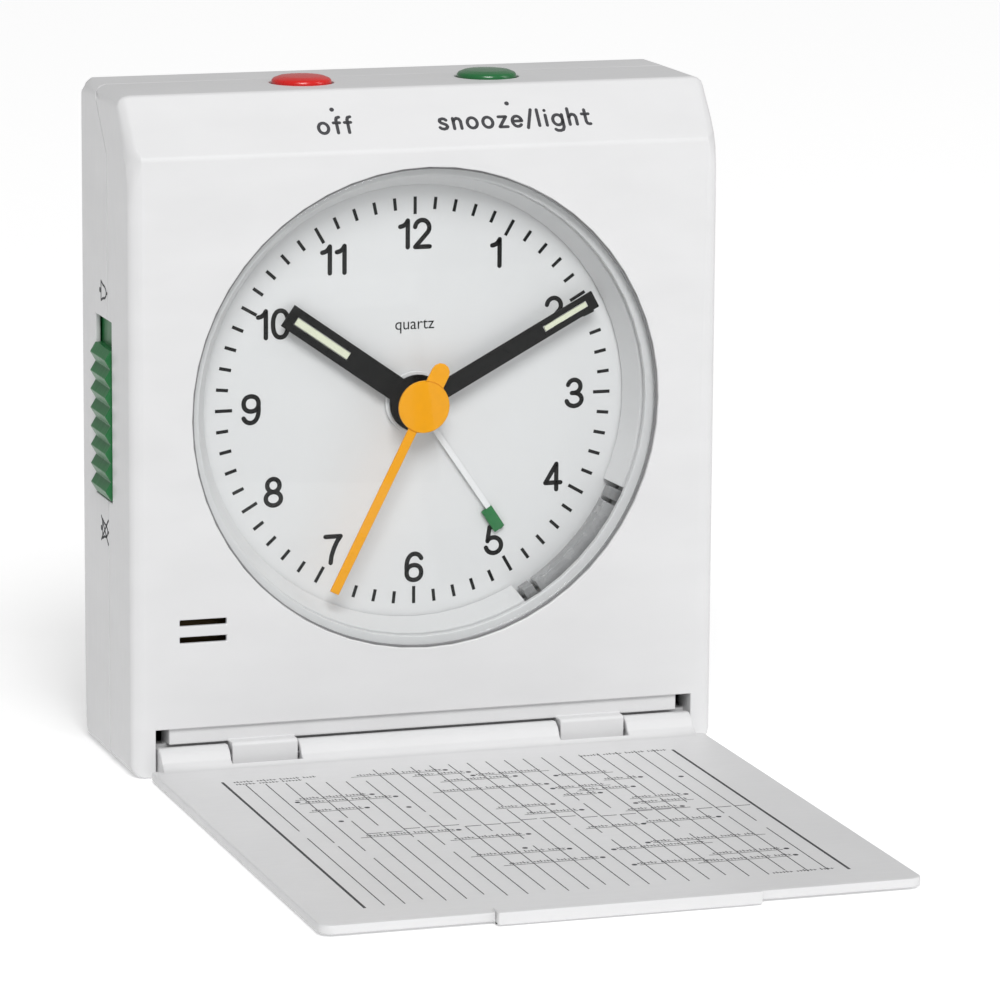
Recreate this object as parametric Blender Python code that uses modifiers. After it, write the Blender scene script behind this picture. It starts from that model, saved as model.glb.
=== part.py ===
"""Travel alarm clock with a fold-down front cover.

Metres, +Z up. The clock stands on z = 0, its dial faces -Y and +X is on its right seen from
the front. The origin is the centre of the case's bottom. Each named object is one piece.
"""

import math

import bmesh
import bpy
from mathutils import Matrix, Vector

MM = 0.001

# Case
CASE_WIDTH = 76.0 * MM
CASE_DEPTH = 25.0 * MM
CASE_HEIGHT = 84.0 * MM
FACET_DEPTH = 6.0 * MM
FACET_HEIGHT = 7.1 * MM
SIDE_RADIUS = 1.6 * MM
CREASE_RATIO = 0.25
FRONT_WALL = 2.4 * MM
WALL = 1.8 * MM
BACK_WALL = 1.6 * MM
GAP = 0.3 * MM
FRONT_Y = -CASE_DEPTH / 2
BACK_Y = CASE_DEPTH / 2
INNER_X = CASE_WIDTH / 2 - WALL
INNER_FRONT_Y = FRONT_Y + FRONT_WALL
INNER_BACK_Y = BACK_Y - BACK_WALL
INNER_TOP = CASE_HEIGHT - WALL
PARTING_Y = -1.5 * MM
PARTING_TOP_Y = 5.0 * MM
PARTING_KNEE_Z = 76.3 * MM
PARTING_GAP = 0.25 * MM

# Dial and lens
DIAL_Z = 44.5 * MM
LENS_OPENING = 30.2 * MM
LENS_RADIUS = 29.9 * MM
LENS_LEDGE = 29.0 * MM
LENS_FRONT_Y = FRONT_Y + 0.3 * MM
LENS_THICKNESS = 0.9 * MM
DIAL_FRONT_Y = FRONT_Y + 5.9 * MM
DIAL_THICKNESS = 0.8 * MM
DIAL_RADIUS = 29.5 * MM
BEZEL_OUTER = 30.5 * MM
BEZEL_FRONT_INNER = 28.8 * MM
BEZEL_BACK_INNER = 27.3 * MM
LIGHT_START = math.radians(114)
LIGHT_END = math.radians(152)
LIGHT_INNER = 27.8 * MM
LIGHT_OUTER = 29.4 * MM
LED_SPAN = math.radians(3)

# Hands: angles clockwise from twelve, and windows as start, end and width
HOUR_ANGLE = math.radians(305.15)
MINUTE_ANGLE = math.radians(61.8)
SECOND_ANGLE = math.radians(206.8)
ALARM_ANGLE = math.radians(145.4)
HAND_THICKNESS = 0.35 * MM
HOUR_WINDOW = (10.9 * MM, 19.3 * MM, 1.1 * MM)
MINUTE_WINDOW = (18.4 * MM, 24.8 * MM, 0.85 * MM)
TAIL_LENGTH = 4.7 * MM
TAIL_WIDTH = 2.4 * MM
ALARM_HAND_Y = DIAL_FRONT_Y - 0.6 * MM
HOUR_HAND_Y = DIAL_FRONT_Y - 1.5 * MM
MINUTE_HAND_Y = DIAL_FRONT_Y - 2.4 * MM
SECOND_HAND_Y = DIAL_FRONT_Y - 4.2 * MM
PIPE_RADII = {
    "second": (0.0, 0.5 * MM),
    "minute": (0.75 * MM, 1.2 * MM),
    "hour": (1.45 * MM, 1.9 * MM),
    "alarm": (2.15 * MM, 2.6 * MM),
}
DIAL_HOLE = 2.9 * MM

# Movement
PLATE_FRONT_Y = -5.3 * MM
PLATE_REAR_Y = 3.3 * MM
PLATE_THICKNESS = 1.0 * MM
PLATE_LEFT = -18.0 * MM
PLATE_RIGHT = 20.0 * MM
PLATE_BOTTOM = DIAL_Z - 13.0 * MM
PLATE_TOP = DIAL_Z + 24.0 * MM
PILLAR_INSET = 2.0 * MM
PILLAR_RADIUS = 1.3 * MM
BOARD_Y = 4.7 * MM
BOARD_THICKNESS = 0.8 * MM
ARBOR_RADIUS = 0.5 * MM
SHAFT_RADIUS = 0.7 * MM
PIVOT_CLEARANCE = 0.25 * MM
PIVOT_END = 0.7 * MM

# Train: tooth counts, and the distance of each arbor from the hands' axis
ROTOR_TEETH = 6
INTERMEDIATE_TEETH = 36
INTERMEDIATE_PINION = 6
SECOND_TEETH = 30
SECOND_PINION = 6
THIRD_TEETH = 45
THIRD_PINION = 6
CENTRE_TEETH = 48
CANNON_TEETH = 10
MINUTE_TEETH = 30
MINUTE_PINION = 8
HOUR_TEETH = 32
ALARM_PINION = 10
ALARM_TEETH = 30
ROTOR_DISTANCE = 7.0 * MM
INTERMEDIATE_DISTANCE = 8.4 * MM
THIRD_DISTANCE = 8.5 * MM
MINUTE_DISTANCE = 9.0 * MM
ALARM_DISTANCE = 9.1 * MM

# Buttons and slider
OFF_X = -12.5 * MM
SNOOZE_X = 11.6 * MM
BUTTON_Y = 0.8 * MM
BUTTON_RADIUS = 3.75 * MM
BUTTON_TOP = CASE_HEIGHT + 0.9 * MM
FLANGE_RADIUS = 4.7 * MM
FLANGE_THICKNESS = 1.2 * MM
ALARM_TRAVEL = 3.3 * MM
SNOOZE_TRAVEL = 0.8 * MM
SLOT_BOTTOM = 33.0 * MM
SLOT_TOP = 55.6 * MM
SLOT_FRONT_Y = -3.4 * MM
SLOT_BACK_Y = 4.6 * MM
SLOT_LIP = 0.7 * MM
SLIDER_RECESS = 0.9 * MM
SLIDER_BASE = 1.0 * MM
SLIDER_LOW = 29.2 * MM
SLIDER_HIGH = 57.0 * MM
RIDGES = 8
RIDGE_PITCH = 2.35 * MM
RIDGE_PEAK = 0.8 * MM
RIDGE_VALLEY = 0.1 * MM
LINK_FOOT = 44.0 * MM
LINK_BOTTOM = 69.2 * MM
LINK_TOP = 71.0 * MM
LINK_THICKNESS = 1.2 * MM
SWITCH_HALF = 3.0 * MM
SWITCH_BOTTOM = 69.0 * MM
SWITCH_TOP = 73.5 * MM

# Cover and hinge
HINGE_Y = FRONT_Y + 0.1 * MM
HINGE_Z = 2.05 * MM
BARREL_RADIUS = 1.75 * MM
BARREL_HALF = 34.75 * MM
BEAM_HALF = 33.2 * MM
PIN_RADIUS = 0.5 * MM
PIN_BORE = 0.75 * MM
KNUCKLE_IN = 17.2 * MM
KNUCKLE_OUT = 25.6 * MM
KNUCKLE_FRONT = 1.45 * MM
KNUCKLE_BELOW = 1.1 * MM
KNUCKLE_ABOVE_BEAM = 0.2 * MM
NOTCH_FRONT = 2.55 * MM
PIN_REACH = 4.2 * MM
COVER_HALF = 36.1 * MM
COVER_BOTTOM = 0.3 * MM
COVER_TOP = 1.4 * MM
COVER_FAR_Y = -88.0 * MM
COVER_CORNER = 1.6 * MM
LATCH_HALF = 15.8 * MM
LATCH_REACH = 1.3 * MM
LATCH_RISE = 0.3 * MM
RECESS_HALF = 35.0 * MM
RECESS_TOP = 6.05 * MM
BEAM_BOTTOM = 4.0 * MM
BEAM_STEP = 0.5 * MM
RECESS_BACK_Y = FRONT_Y + 2.6 * MM

# Battery
CELL_RADIUS = 7.25 * MM
CELL_LENGTH = 49.5 * MM
CELL_NUB = 1.0 * MM
CELL_Y = 3.2 * MM
CELL_Z = 10.4 * MM
CELL_LEFT = -24.2 * MM
BAY_HALF = 27.6 * MM
BAY_WALL = 0.9 * MM
DOOR_HALF = 27.0 * MM
DOOR_BOTTOM = 3.2 * MM
DOOR_TOP = 17.6 * MM

# Case screws and knobs
SCREWS = {
    "case_screw_1": (-33.2 * MM, 78.4 * MM),
    "case_screw_2": (33.2 * MM, 78.4 * MM),
    "case_screw_3": (-33.4 * MM, 25.8 * MM),
    "case_screw_4": (33.4 * MM, 25.8 * MM),
}
BOSS_RADIUS = 2.6 * MM
SCREW_RADIUS = 1.0 * MM
SCREW_HOLE = 1.35 * MM
SCREW_HEAD = 2.0 * MM
SCREW_SEAT_Y = 5.0 * MM
KNOB_RADIUS = 6.0 * MM
KNOB_FRONT_Y = 9.9 * MM
KNOB_BACK_Y = 12.2 * MM
POCKET_RADIUS = 6.5 * MM
POCKET_FLOOR_Y = 9.5 * MM

# Buzzer behind the two slots
BUZZER_X = -27.0 * MM
BUZZER_Z = 17.8 * MM
BUZZER_RADIUS = 6.8 * MM
SOUND_SLOT_X = -28.9 * MM
SOUND_SLOT_LENGTH = 6.0 * MM
SOUND_SLOT_HEIGHT = 0.78 * MM
SOUND_SLOT_SKIN = 0.7 * MM
SOUND_SLOTS_Z = (17.2 * MM, 19.35 * MM)

FACE_Y = Matrix.Rotation(math.pi / 2, 4, "X")
FACE_X = Matrix.Rotation(math.pi / 2, 4, "Z") @ FACE_Y
UPRIGHT = Matrix.Identity(4)

WHITE = ("white_plastic", (0.80, 0.80, 0.80), 0.45, 0.0)
BLACK = ("black_paint", (0.02, 0.02, 0.02), 0.4, 0.0)
CREAM = ("luminous_paint", (0.85, 0.88, 0.70), 0.6, 0.0)
YELLOW = ("yellow_paint", (0.95, 0.55, 0.02), 0.4, 0.0)
GREEN = ("green_plastic", (0.03, 0.25, 0.08), 0.4, 0.0)
RED = ("red_plastic", (0.75, 0.04, 0.02), 0.35, 0.0)
CLEAR = ("clear_plastic", (0.95, 0.97, 0.98), 0.05, 0.0)
DIAL = ("dial_paint", (0.90, 0.90, 0.90), 0.5, 0.0)
GREY = ("grey_plastic", (0.45, 0.45, 0.46), 0.4, 0.0)
BRASS = ("brass", (0.75, 0.55, 0.25), 0.35, 1.0)
STEEL = ("steel", (0.60, 0.60, 0.62), 0.3, 1.0)
NATURAL = ("natural_plastic", (0.75, 0.76, 0.74), 0.45, 0.0)
COPPER = ("copper_winding", (0.60, 0.25, 0.12), 0.35, 1.0)
BOARD = ("board", (0.05, 0.22, 0.10), 0.5, 0.0)
CELL = ("cell_jacket", (0.12, 0.12, 0.13), 0.35, 0.2)
MAGNET = ("magnet", (0.10, 0.10, 0.11), 0.5, 0.3)


def clear_scene():
    for obj in list(bpy.data.objects):
        bpy.data.objects.remove(obj, do_unlink=True)


def collection(name):
    found = bpy.data.collections.get(name)
    if found is None:
        found = bpy.data.collections.new(name)
        bpy.context.scene.collection.children.link(found)
    return found


def material(spec):
    name, color, roughness, metallic = spec
    found = bpy.data.materials.get(name)
    if found is None:
        found = bpy.data.materials.new(name)
        found.use_nodes = True
        shader = found.node_tree.nodes["Principled BSDF"]
        shader.inputs["Base Color"].default_value = (*color, 1.0)
        shader.inputs["Roughness"].default_value = roughness
        shader.inputs["Metallic"].default_value = metallic
    return found


def place(name, mesh, spec, matrix=UPRIGHT):
    """Link a mesh as a part, or as a cutter when it has no material."""
    obj = bpy.data.objects.new(name, mesh)
    obj.matrix_world = matrix
    if spec is None:
        collection("cutters").objects.link(obj)
        obj.hide_render = True
        obj.display_type = "WIRE"
    else:
        collection("travel_alarm_clock").objects.link(obj)
        mesh.materials.append(material(spec))
    return obj


def box(name, low, high, spec=None):
    bm = bmesh.new()
    bmesh.ops.create_cube(bm, size=1.0)
    low, high = Vector(low), Vector(high)
    bmesh.ops.scale(bm, vec=high - low, verts=bm.verts)
    mesh = bpy.data.meshes.new(name)
    bm.to_mesh(mesh)
    bm.free()
    return place(name, mesh, spec, Matrix.Translation((low + high) / 2))


def cylinder(name, radius, start, end, spec=None, segments=24):
    """A cylinder between two points."""
    start, end = Vector(start), Vector(end)
    bm = bmesh.new()
    bmesh.ops.create_cone(
        bm, cap_ends=True, segments=segments, radius1=radius, radius2=radius,
        depth=(end - start).length,
    )
    mesh = bpy.data.meshes.new(name)
    bm.to_mesh(mesh)
    bm.free()
    mesh.shade_smooth()
    mesh.set_sharp_from_angle(angle=math.radians(40))
    turn = (end - start).to_track_quat("Z", "Y").to_matrix().to_4x4()
    return place(name, mesh, spec, Matrix.Translation((start + end) / 2) @ turn)


def cylinder_y(name, radius, x, z, y_start, y_end, spec=None, segments=24):
    return cylinder(name, radius, (x, y_end, z), (x, y_start, z), spec, segments)


def outline(name, loops, thickness, centre, facing, spec=None):
    """A flat outline, extruded both ways from its own plane. Later loops are holes."""
    curve = bpy.data.curves.new(name + "_outline", "CURVE")
    curve.dimensions = "2D"
    curve.fill_mode = "BOTH"
    curve.extrude = thickness / 2
    for loop in loops:
        spline = curve.splines.new("POLY")
        spline.points.add(len(loop) - 1)
        for point, (u, v) in zip(spline.points, loop):
            point.co = (u, v, 0.0, 1.0)
        spline.use_cyclic_u = True
    source = bpy.data.objects.new(name + "_outline", curve)
    bpy.context.scene.collection.objects.link(source)
    bpy.context.view_layer.update()
    graph = bpy.context.evaluated_depsgraph_get()
    mesh = bpy.data.meshes.new_from_object(source.evaluated_get(graph))
    bpy.data.objects.remove(source, do_unlink=True)
    bm = bmesh.new()
    bm.from_mesh(mesh)
    bmesh.ops.remove_doubles(bm, verts=bm.verts, dist=0.000001)
    bmesh.ops.recalc_face_normals(bm, faces=bm.faces)
    bm.to_mesh(mesh)
    bm.free()
    mesh.materials.clear()
    mesh.name = name
    return place(name, mesh, spec, Matrix.Translation(centre) @ facing)


def turned(name, profile, centre, facing, spec=None, steps=32, closed=False):
    """A profile of (radius, height) points turned about its own upright axis."""
    mesh = bpy.data.meshes.new(name)
    count = len(profile)
    edges = [(i, i + 1) for i in range(count - 1)]
    if closed:
        edges.append((count - 1, 0))
    mesh.from_pydata([(r, 0.0, h) for r, h in profile], edges, [])
    obj = place(name, mesh, spec, Matrix.Translation(centre) @ facing)
    screw = obj.modifiers.new("turn", "SCREW")
    screw.axis = "Z"
    screw.angle = math.tau
    screw.steps = steps
    screw.render_steps = steps
    screw.use_merge_vertices = True
    screw.merge_threshold = 0.00001
    screw.use_smooth_shade = False
    return obj


def combine(target, operation, *others):
    """Boolean each of the others into the target, one modifier each."""
    for other in others:
        modifier = target.modifiers.new(operation.lower(), "BOOLEAN")
        modifier.operation = operation
        modifier.solver = "EXACT"
        modifier.object = other
    return target


def cut(target, *others):
    return combine(target, "DIFFERENCE", *others)


def join(target, *others):
    return combine(target, "UNION", *others)


def arc(centre, radius, start, end, steps):
    """Points on an arc, with angles counted anticlockwise from the first axis."""
    return [
        (
            centre[0] + radius * math.cos(start + (end - start) * i / steps),
            centre[1] + radius * math.sin(start + (end - start) * i / steps),
        )
        for i in range(steps + 1)
    ]


def ring(radius, steps=32):
    return arc((0.0, 0.0), radius, 0.0, math.tau * (steps - 1) / steps, steps - 1)


def turn_points(points, clockwise):
    """Turn (right, up) points clockwise by an angle."""
    c, s = math.cos(clockwise), math.sin(clockwise)
    return [(u * c + v * s, v * c - u * s) for u, v in points]


def polar(distance, degrees):
    """A place in the dial's plane, from its distance and its angle from the right."""
    angle = math.radians(degrees)
    return (distance * math.cos(angle), distance * math.sin(angle))


# Arbors, relative to the hands' axis, as (right, up)
THIRD_AT = polar(THIRD_DISTANCE, 120)
INTERMEDIATE_AT = polar(INTERMEDIATE_DISTANCE, 50)
ROTOR_AT = tuple(a + b for a, b in zip(INTERMEDIATE_AT, polar(ROTOR_DISTANCE, 20)))
MINUTE_AT = polar(MINUTE_DISTANCE, 200)
ALARM_AT = polar(ALARM_DISTANCE, 340)
CENTRE_AT = (0.0, 0.0)


def on_dial(at, y):
    return (at[0], y, DIAL_Z + at[1])


def tooth_module(distance, teeth, other_teeth):
    return 2 * distance / (teeth + other_teeth)


def meshing_phase(at, other_at, teeth, other_teeth):
    """The angle of a tooth of the other gear that meets a gap of one whose tooth is at zero."""
    line = math.atan2(other_at[1] - at[1], other_at[0] - at[0])
    own_offset = teeth * -line / math.tau
    return line + math.pi + math.tau / other_teeth * (0.5 - own_offset)


def gear_points(teeth, module, phase=0.0):
    """The outline of a spur gear with straight-sided teeth."""
    pitch_radius = teeth * module / 2
    root, tip = pitch_radius - 1.15 * module, pitch_radius + 0.85 * module
    pitch = math.tau / teeth
    points = []
    for i in range(teeth):
        middle = phase + i * pitch
        for radius, share in ((root, -0.22), (tip, -0.10), (tip, 0.10), (root, 0.22)):
            angle = middle + share * pitch
            points.append((radius * math.cos(angle), radius * math.sin(angle)))
    return points


def gear(name, at, teeth, module, phase, y_low, y_high, spec=None):
    middle = on_dial(at, (y_low + y_high) / 2)
    points = gear_points(teeth, module, phase)
    return outline(name, [points], y_high - y_low, middle, FACE_Y, spec)


def arbor(name, at, y_low, y_high, radius=ARBOR_RADIUS, spec=None):
    return cylinder_y(name, radius, at[0], DIAL_Z + at[1], y_low, y_high, spec, 12)


# ---------------------------------------------------------------- case


def case_block(name, spec):
    """The whole outer form, with rounded side edges and slight creases along X."""
    half = CASE_WIDTH / 2
    profile = [
        (FRONT_Y, 0.0),
        (BACK_Y, 0.0),
        (BACK_Y, CASE_HEIGHT),
        (FRONT_Y + FACET_DEPTH, CASE_HEIGHT),
        (FRONT_Y, CASE_HEIGHT - FACET_HEIGHT),
    ]
    obj = outline(name, [profile], 2 * half, (0, 0, 0), FACE_X, spec)
    mesh = obj.data
    weights = mesh.attributes.new("bevel_weight_edge", "FLOAT", "EDGE")
    for edge, weight in zip(mesh.edges, weights.data):
        first, second = (mesh.vertices[i].co for i in edge.vertices)
        along_x = abs(first.z - second.z) > half
        weight.value = CREASE_RATIO if along_x else 1.0
    bevel = obj.modifiers.new("rounding", "BEVEL")
    bevel.limit_method = "WEIGHT"
    bevel.width = SIDE_RADIUS
    bevel.segments = 3
    mesh.shade_smooth()
    mesh.set_sharp_from_angle(angle=math.radians(40))
    return obj


def cavity(name):
    """The space inside the case, stepped back over the hinge recess."""
    slope = FACET_HEIGHT / FACET_DEPTH
    slant = WALL * math.hypot(1.0, slope)
    step_y = RECESS_BACK_Y + WALL
    step_z = RECESS_TOP + WALL
    facet_low = CASE_HEIGHT - FACET_HEIGHT + FRONT_WALL * slope - slant
    facet_high_y = FRONT_Y + (FACET_HEIGHT + slant - WALL) / slope
    profile = [
        (step_y, WALL),
        (INNER_BACK_Y, WALL),
        (INNER_BACK_Y, INNER_TOP),
        (facet_high_y, INNER_TOP),
        (INNER_FRONT_Y, facet_low),
        (INNER_FRONT_Y, step_z),
        (step_y, step_z),
    ]
    return outline(name, [profile], 2 * INNER_X, (0, 0, 0), FACE_X)


def half_space(name, rear):
    """Everything in front of the parting line, or behind it."""
    far = CASE_HEIGHT
    y = PARTING_Y + (PARTING_GAP if rear else 0.0)
    top_y = PARTING_TOP_Y + (PARTING_GAP if rear else 0.0)
    end = far if rear else -far
    profile = [
        (end, -far),
        (y, -far),
        (y, PARTING_KNEE_Z),
        (top_y, CASE_HEIGHT),
        (top_y, 2 * far),
        (end, 2 * far),
    ]
    return outline(name, [profile], 2 * CASE_WIDTH, (0, 0, 0), FACE_X)


def cut_slider_slot(housing):
    """The slider's slot, in a thinned patch of the side wall that the slider's base runs in."""
    inside = -INNER_X + WALL / 2
    cut(
        housing,
        box(housing.name + "_slot", (-CASE_WIDTH, SLOT_FRONT_Y, SLOT_BOTTOM),
            (inside, SLOT_BACK_Y, SLOT_TOP)),
        box(housing.name + "_slot_pocket",
            (-CASE_WIDTH / 2 + SLOT_LIP, SLOT_FRONT_Y - 1.0 * MM - GAP, SLIDER_LOW - GAP),
            (inside, SLOT_BACK_Y + 1.0 * MM + GAP, SLIDER_HIGH + ALARM_TRAVEL + GAP)),
    )


def cut_button_holes(housing):
    for name, x in (("off", OFF_X), ("snooze", SNOOZE_X)):
        low, high = (x, BUTTON_Y, INNER_TOP - WALL / 2), (x, BUTTON_Y, CASE_HEIGHT + WALL)
        cut(housing, cylinder(f"{housing.name}_{name}_hole", BUTTON_RADIUS + GAP, low, high))


def knuckle(name, side):
    """One hinge knuckle of the case, which hangs over the cover's edge."""
    inner, outer = sorted((side * KNUCKLE_IN, side * KNUCKLE_OUT))
    front, reach = HINGE_Y - KNUCKLE_FRONT, RECESS_BACK_Y + 0.6 * MM
    bottom, top = HINGE_Z - KNUCKLE_BELOW, BEAM_BOTTOM + KNUCKLE_ABOVE_BEAM
    round_r = 0.5 * MM
    profile = [(reach, bottom), (reach, top)]
    profile += arc((front + round_r, top - round_r), round_r, math.pi / 2, math.pi, 3)
    profile += arc((front + round_r, bottom + round_r), round_r, math.pi, 1.5 * math.pi, 3)
    middle = ((inner + outer) / 2, 0, 0)
    return outline(name, [profile[::-1]], outer - inner, middle, FACE_X)


def front_housing():
    obj = case_block("front_housing", WHITE)
    combine(obj, "INTERSECT", half_space("front_space", rear=False))
    cut(obj, cavity("front_cavity"))
    cut(
        obj,
        cylinder_y("lens_seat", LENS_OPENING, 0, DIAL_Z, FRONT_Y - WALL,
                   LENS_FRONT_Y + LENS_THICKNESS + GAP, segments=56),
        cylinder_y("dial_opening", LENS_LEDGE, 0, DIAL_Z, FRONT_Y - WALL,
                   INNER_FRONT_Y + WALL, segments=56),
    )
    cut_slider_slot(obj)
    cut_button_holes(obj)
    sound_low, sound_high = SOUND_SLOTS_Z[0] - 1.0 * MM, SOUND_SLOTS_Z[1] + 1.0 * MM
    half = SOUND_SLOT_LENGTH / 2
    cut(obj, box("sound_pocket",
                 (SOUND_SLOT_X - half - 0.4 * MM, FRONT_Y + SOUND_SLOT_SKIN, sound_low),
                 (SOUND_SLOT_X + half + 0.4 * MM, INNER_FRONT_Y + GAP, sound_high)))
    for i, z in enumerate(SOUND_SLOTS_Z):
        low = (SOUND_SLOT_X - half, FRONT_Y - WALL, z - SOUND_SLOT_HEIGHT / 2)
        high = (SOUND_SLOT_X + half, INNER_FRONT_Y + WALL, z + SOUND_SLOT_HEIGHT / 2)
        cut(obj, box(f"sound_slot_{i}", low, high))
    recess_low = (-RECESS_HALF, FRONT_Y - WALL, -WALL)
    cut(
        obj,
        box("hinge_recess", recess_low, (RECESS_HALF, RECESS_BACK_Y, BEAM_BOTTOM)),
        box("beam_step", (-RECESS_HALF, FRONT_Y - WALL, BEAM_BOTTOM - WALL),
            (RECESS_HALF, FRONT_Y + BEAM_STEP, RECESS_TOP)),
    )
    for side in (-1, 1):
        inner, outer = sorted((side * BEAM_HALF, side * RECESS_HALF))
        cut(obj, box(f"beam_end_{side}", (inner, FRONT_Y - WALL, BEAM_BOTTOM - GAP),
                     (outer, RECESS_BACK_Y + WALL + GAP, RECESS_TOP)))
        join(obj, knuckle(f"knuckle_{side}", side))
        cut(obj, cylinder(f"knuckle_bore_{side}", PIN_BORE,
                          (side * (KNUCKLE_IN - WALL), HINGE_Y, HINGE_Z),
                          (side * (KNUCKLE_OUT + WALL), HINGE_Y, HINGE_Z), segments=12))
    for name, (x, z) in SCREWS.items():
        boss_front = INNER_FRONT_Y - GAP
        if z > PARTING_KNEE_Z:
            boss_front += FACET_DEPTH / 3
        join(obj, cylinder_y(name + "_boss", BOSS_RADIUS, x, z, boss_front, PARTING_Y - GAP,
                             segments=14))
        cut(obj, cylinder_y(name + "_pilot", SCREW_HOLE, x, z, -7.2 * MM, PARTING_Y + WALL,
                            segments=10))
    return obj


def rear_housing():
    obj = case_block("rear_housing", WHITE)
    combine(obj, "INTERSECT", half_space("rear_space", rear=True))
    cut(obj, cavity("rear_cavity"))
    cut_slider_slot(obj)
    cut_button_holes(obj)
    cut(obj, box("door_opening", (-DOOR_HALF - GAP, INNER_BACK_Y - WALL, DOOR_BOTTOM - GAP),
                 (DOOR_HALF + GAP, BACK_Y + WALL, DOOR_TOP + GAP)))
    for name, at in (("time", MINUTE_AT), ("alarm", ALARM_AT)):
        x, z = at[0], DIAL_Z + at[1]
        join(obj, cylinder_y(name + "_pocket_wall", POCKET_RADIUS + 0.9 * MM, x, z,
                             POCKET_FLOOR_Y - 1.0 * MM, INNER_BACK_Y + WALL / 2))
        cut(obj, cylinder_y(name + "_pocket", POCKET_RADIUS, x, z, POCKET_FLOOR_Y,
                            BACK_Y + WALL, segments=24))
        cut(obj, cylinder_y(name + "_shaft_hole", SHAFT_RADIUS + GAP, x, z,
                            POCKET_FLOOR_Y - WALL, POCKET_FLOOR_Y + WALL, segments=12))
    for name, (x, z) in SCREWS.items():
        boss_front = PARTING_Y + PARTING_GAP + GAP
        if z > PARTING_KNEE_Z:
            boss_front += (z + BOSS_RADIUS - PARTING_KNEE_Z) * (PARTING_TOP_Y - PARTING_Y) / (
                CASE_HEIGHT - PARTING_KNEE_Z)
        join(obj, cylinder_y(name + "_rear_boss", BOSS_RADIUS, x, z, boss_front,
                             INNER_BACK_Y + WALL / 2, segments=14))
        cut(obj, cylinder_y(name + "_hole", SCREW_HOLE, x, z, PARTING_Y - WALL,
                            SCREW_SEAT_Y + WALL, segments=10))
        cut(obj, cylinder_y(name + "_seat", SCREW_HEAD + GAP, x, z, SCREW_SEAT_Y,
                            BACK_Y + WALL, segments=14))
    return obj


def case_screws():
    head_front = SCREW_SEAT_Y + GAP
    for name, (x, z) in SCREWS.items():
        head = cylinder_y(name, SCREW_HEAD, x, z, head_front, head_front + 1.5 * MM, STEEL, 16)
        shank = cylinder_y(name + "_shank", SCREW_RADIUS, x, z, -6.5 * MM,
                           head_front + 0.5 * MM, segments=10)
        join(head, shank)
        for i, size in enumerate(((1.3 * MM, 0.3 * MM), (0.3 * MM, 1.3 * MM))):
            low = (x - size[0], head_front + 1.0 * MM, z - size[1])
            high = (x + size[0], head_front + 2.0 * MM, z + size[1])
            cut(head, box(f"{name}_cross_{i}", low, high))


def lens():
    cylinder_y("lens", LENS_RADIUS, 0, DIAL_Z, LENS_FRONT_Y, LENS_FRONT_Y + LENS_THICKNESS,
               CLEAR, 56)


def sector(name, inner, outer, start, end, y_low, y_high, spec=None):
    """Part of a ring on the dial's axis, between two angles clockwise from twelve."""
    first, last = math.pi / 2 - start, math.pi / 2 - end
    points = arc(CENTRE_AT, outer, last, first, 12) + arc(CENTRE_AT, inner, first, last, 12)
    middle = on_dial(CENTRE_AT, (y_low + y_high) / 2)
    return outline(name, [points], y_high - y_low, middle, FACE_Y, spec)


def bezel_ring():
    """The white sloping ring between the lens and the dial, with a notch for the light."""
    front, back = INNER_FRONT_Y + GAP, DIAL_FRONT_Y - GAP
    profile = [
        (BEZEL_FRONT_INNER, -front),
        (BEZEL_OUTER, -front),
        (BEZEL_OUTER, -back),
        (BEZEL_BACK_INNER, -back),
    ]
    ring_obj = turned("bezel_ring", profile, on_dial(CENTRE_AT, 0.0), FACE_Y, WHITE, 56, True)
    cut(ring_obj, sector("light_notch", BEZEL_BACK_INNER - 1.0 * MM, LIGHT_OUTER + GAP,
                         LIGHT_START, LIGHT_END, front - WALL, back + WALL))


def dial_light():
    """A light guide with a lamp at each end of it."""
    low, high = INNER_FRONT_Y + 2 * GAP, DIAL_FRONT_Y - 2 * GAP
    edge = math.radians(1)
    lamp_end = LIGHT_START + edge + LED_SPAN
    lamp_start = LIGHT_END - edge - LED_SPAN
    sector("led_upper", LIGHT_INNER, LIGHT_OUTER, LIGHT_START + edge, lamp_end, low, high, YELLOW)
    sector("light_guide", LIGHT_INNER, LIGHT_OUTER, lamp_end + edge, lamp_start - edge,
           low, high, GREY)
    sector("led_lower", LIGHT_INNER, LIGHT_OUTER, lamp_start, LIGHT_END - edge, low, high, YELLOW)


def dial_plate():
    loops = [ring(DIAL_RADIUS, 48), ring(DIAL_HOLE, 16)]
    centre = on_dial(CENTRE_AT, DIAL_FRONT_Y + DIAL_THICKNESS / 2)
    outline("dial_plate", loops, DIAL_THICKNESS, centre, FACE_Y, DIAL)


# ---------------------------------------------------------------- hands


def bar_points(start, end, width):
    half = width / 2
    return [(half, start), (half, end), (-half, end), (-half, start)]


def hand(name, key, angle, front_y, hub_radius, start, length, width, window, spec):
    """A hand: a hub disc and a bar with an optional window, joined to its pipe later."""
    loops = [turn_points(bar_points(start, length, width), angle)]
    if window:
        loops.append(turn_points(bar_points(*window), angle))
    middle = on_dial(CENTRE_AT, front_y + HAND_THICKNESS / 2)
    obj = outline(name, loops, HAND_THICKNESS, middle, FACE_Y, spec)
    hub = cylinder_y(name + "_hub", hub_radius, 0, DIAL_Z, front_y - 0.02 * MM,
                     front_y + HAND_THICKNESS + 0.02 * MM, segments=32)
    join(obj, hub)
    inner = PIPE_RADII[key][0]
    if inner:
        cut(obj, cylinder_y(name + "_bore", inner, 0, DIAL_Z, front_y - WALL,
                            front_y + WALL, segments=20))
    return obj


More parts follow.
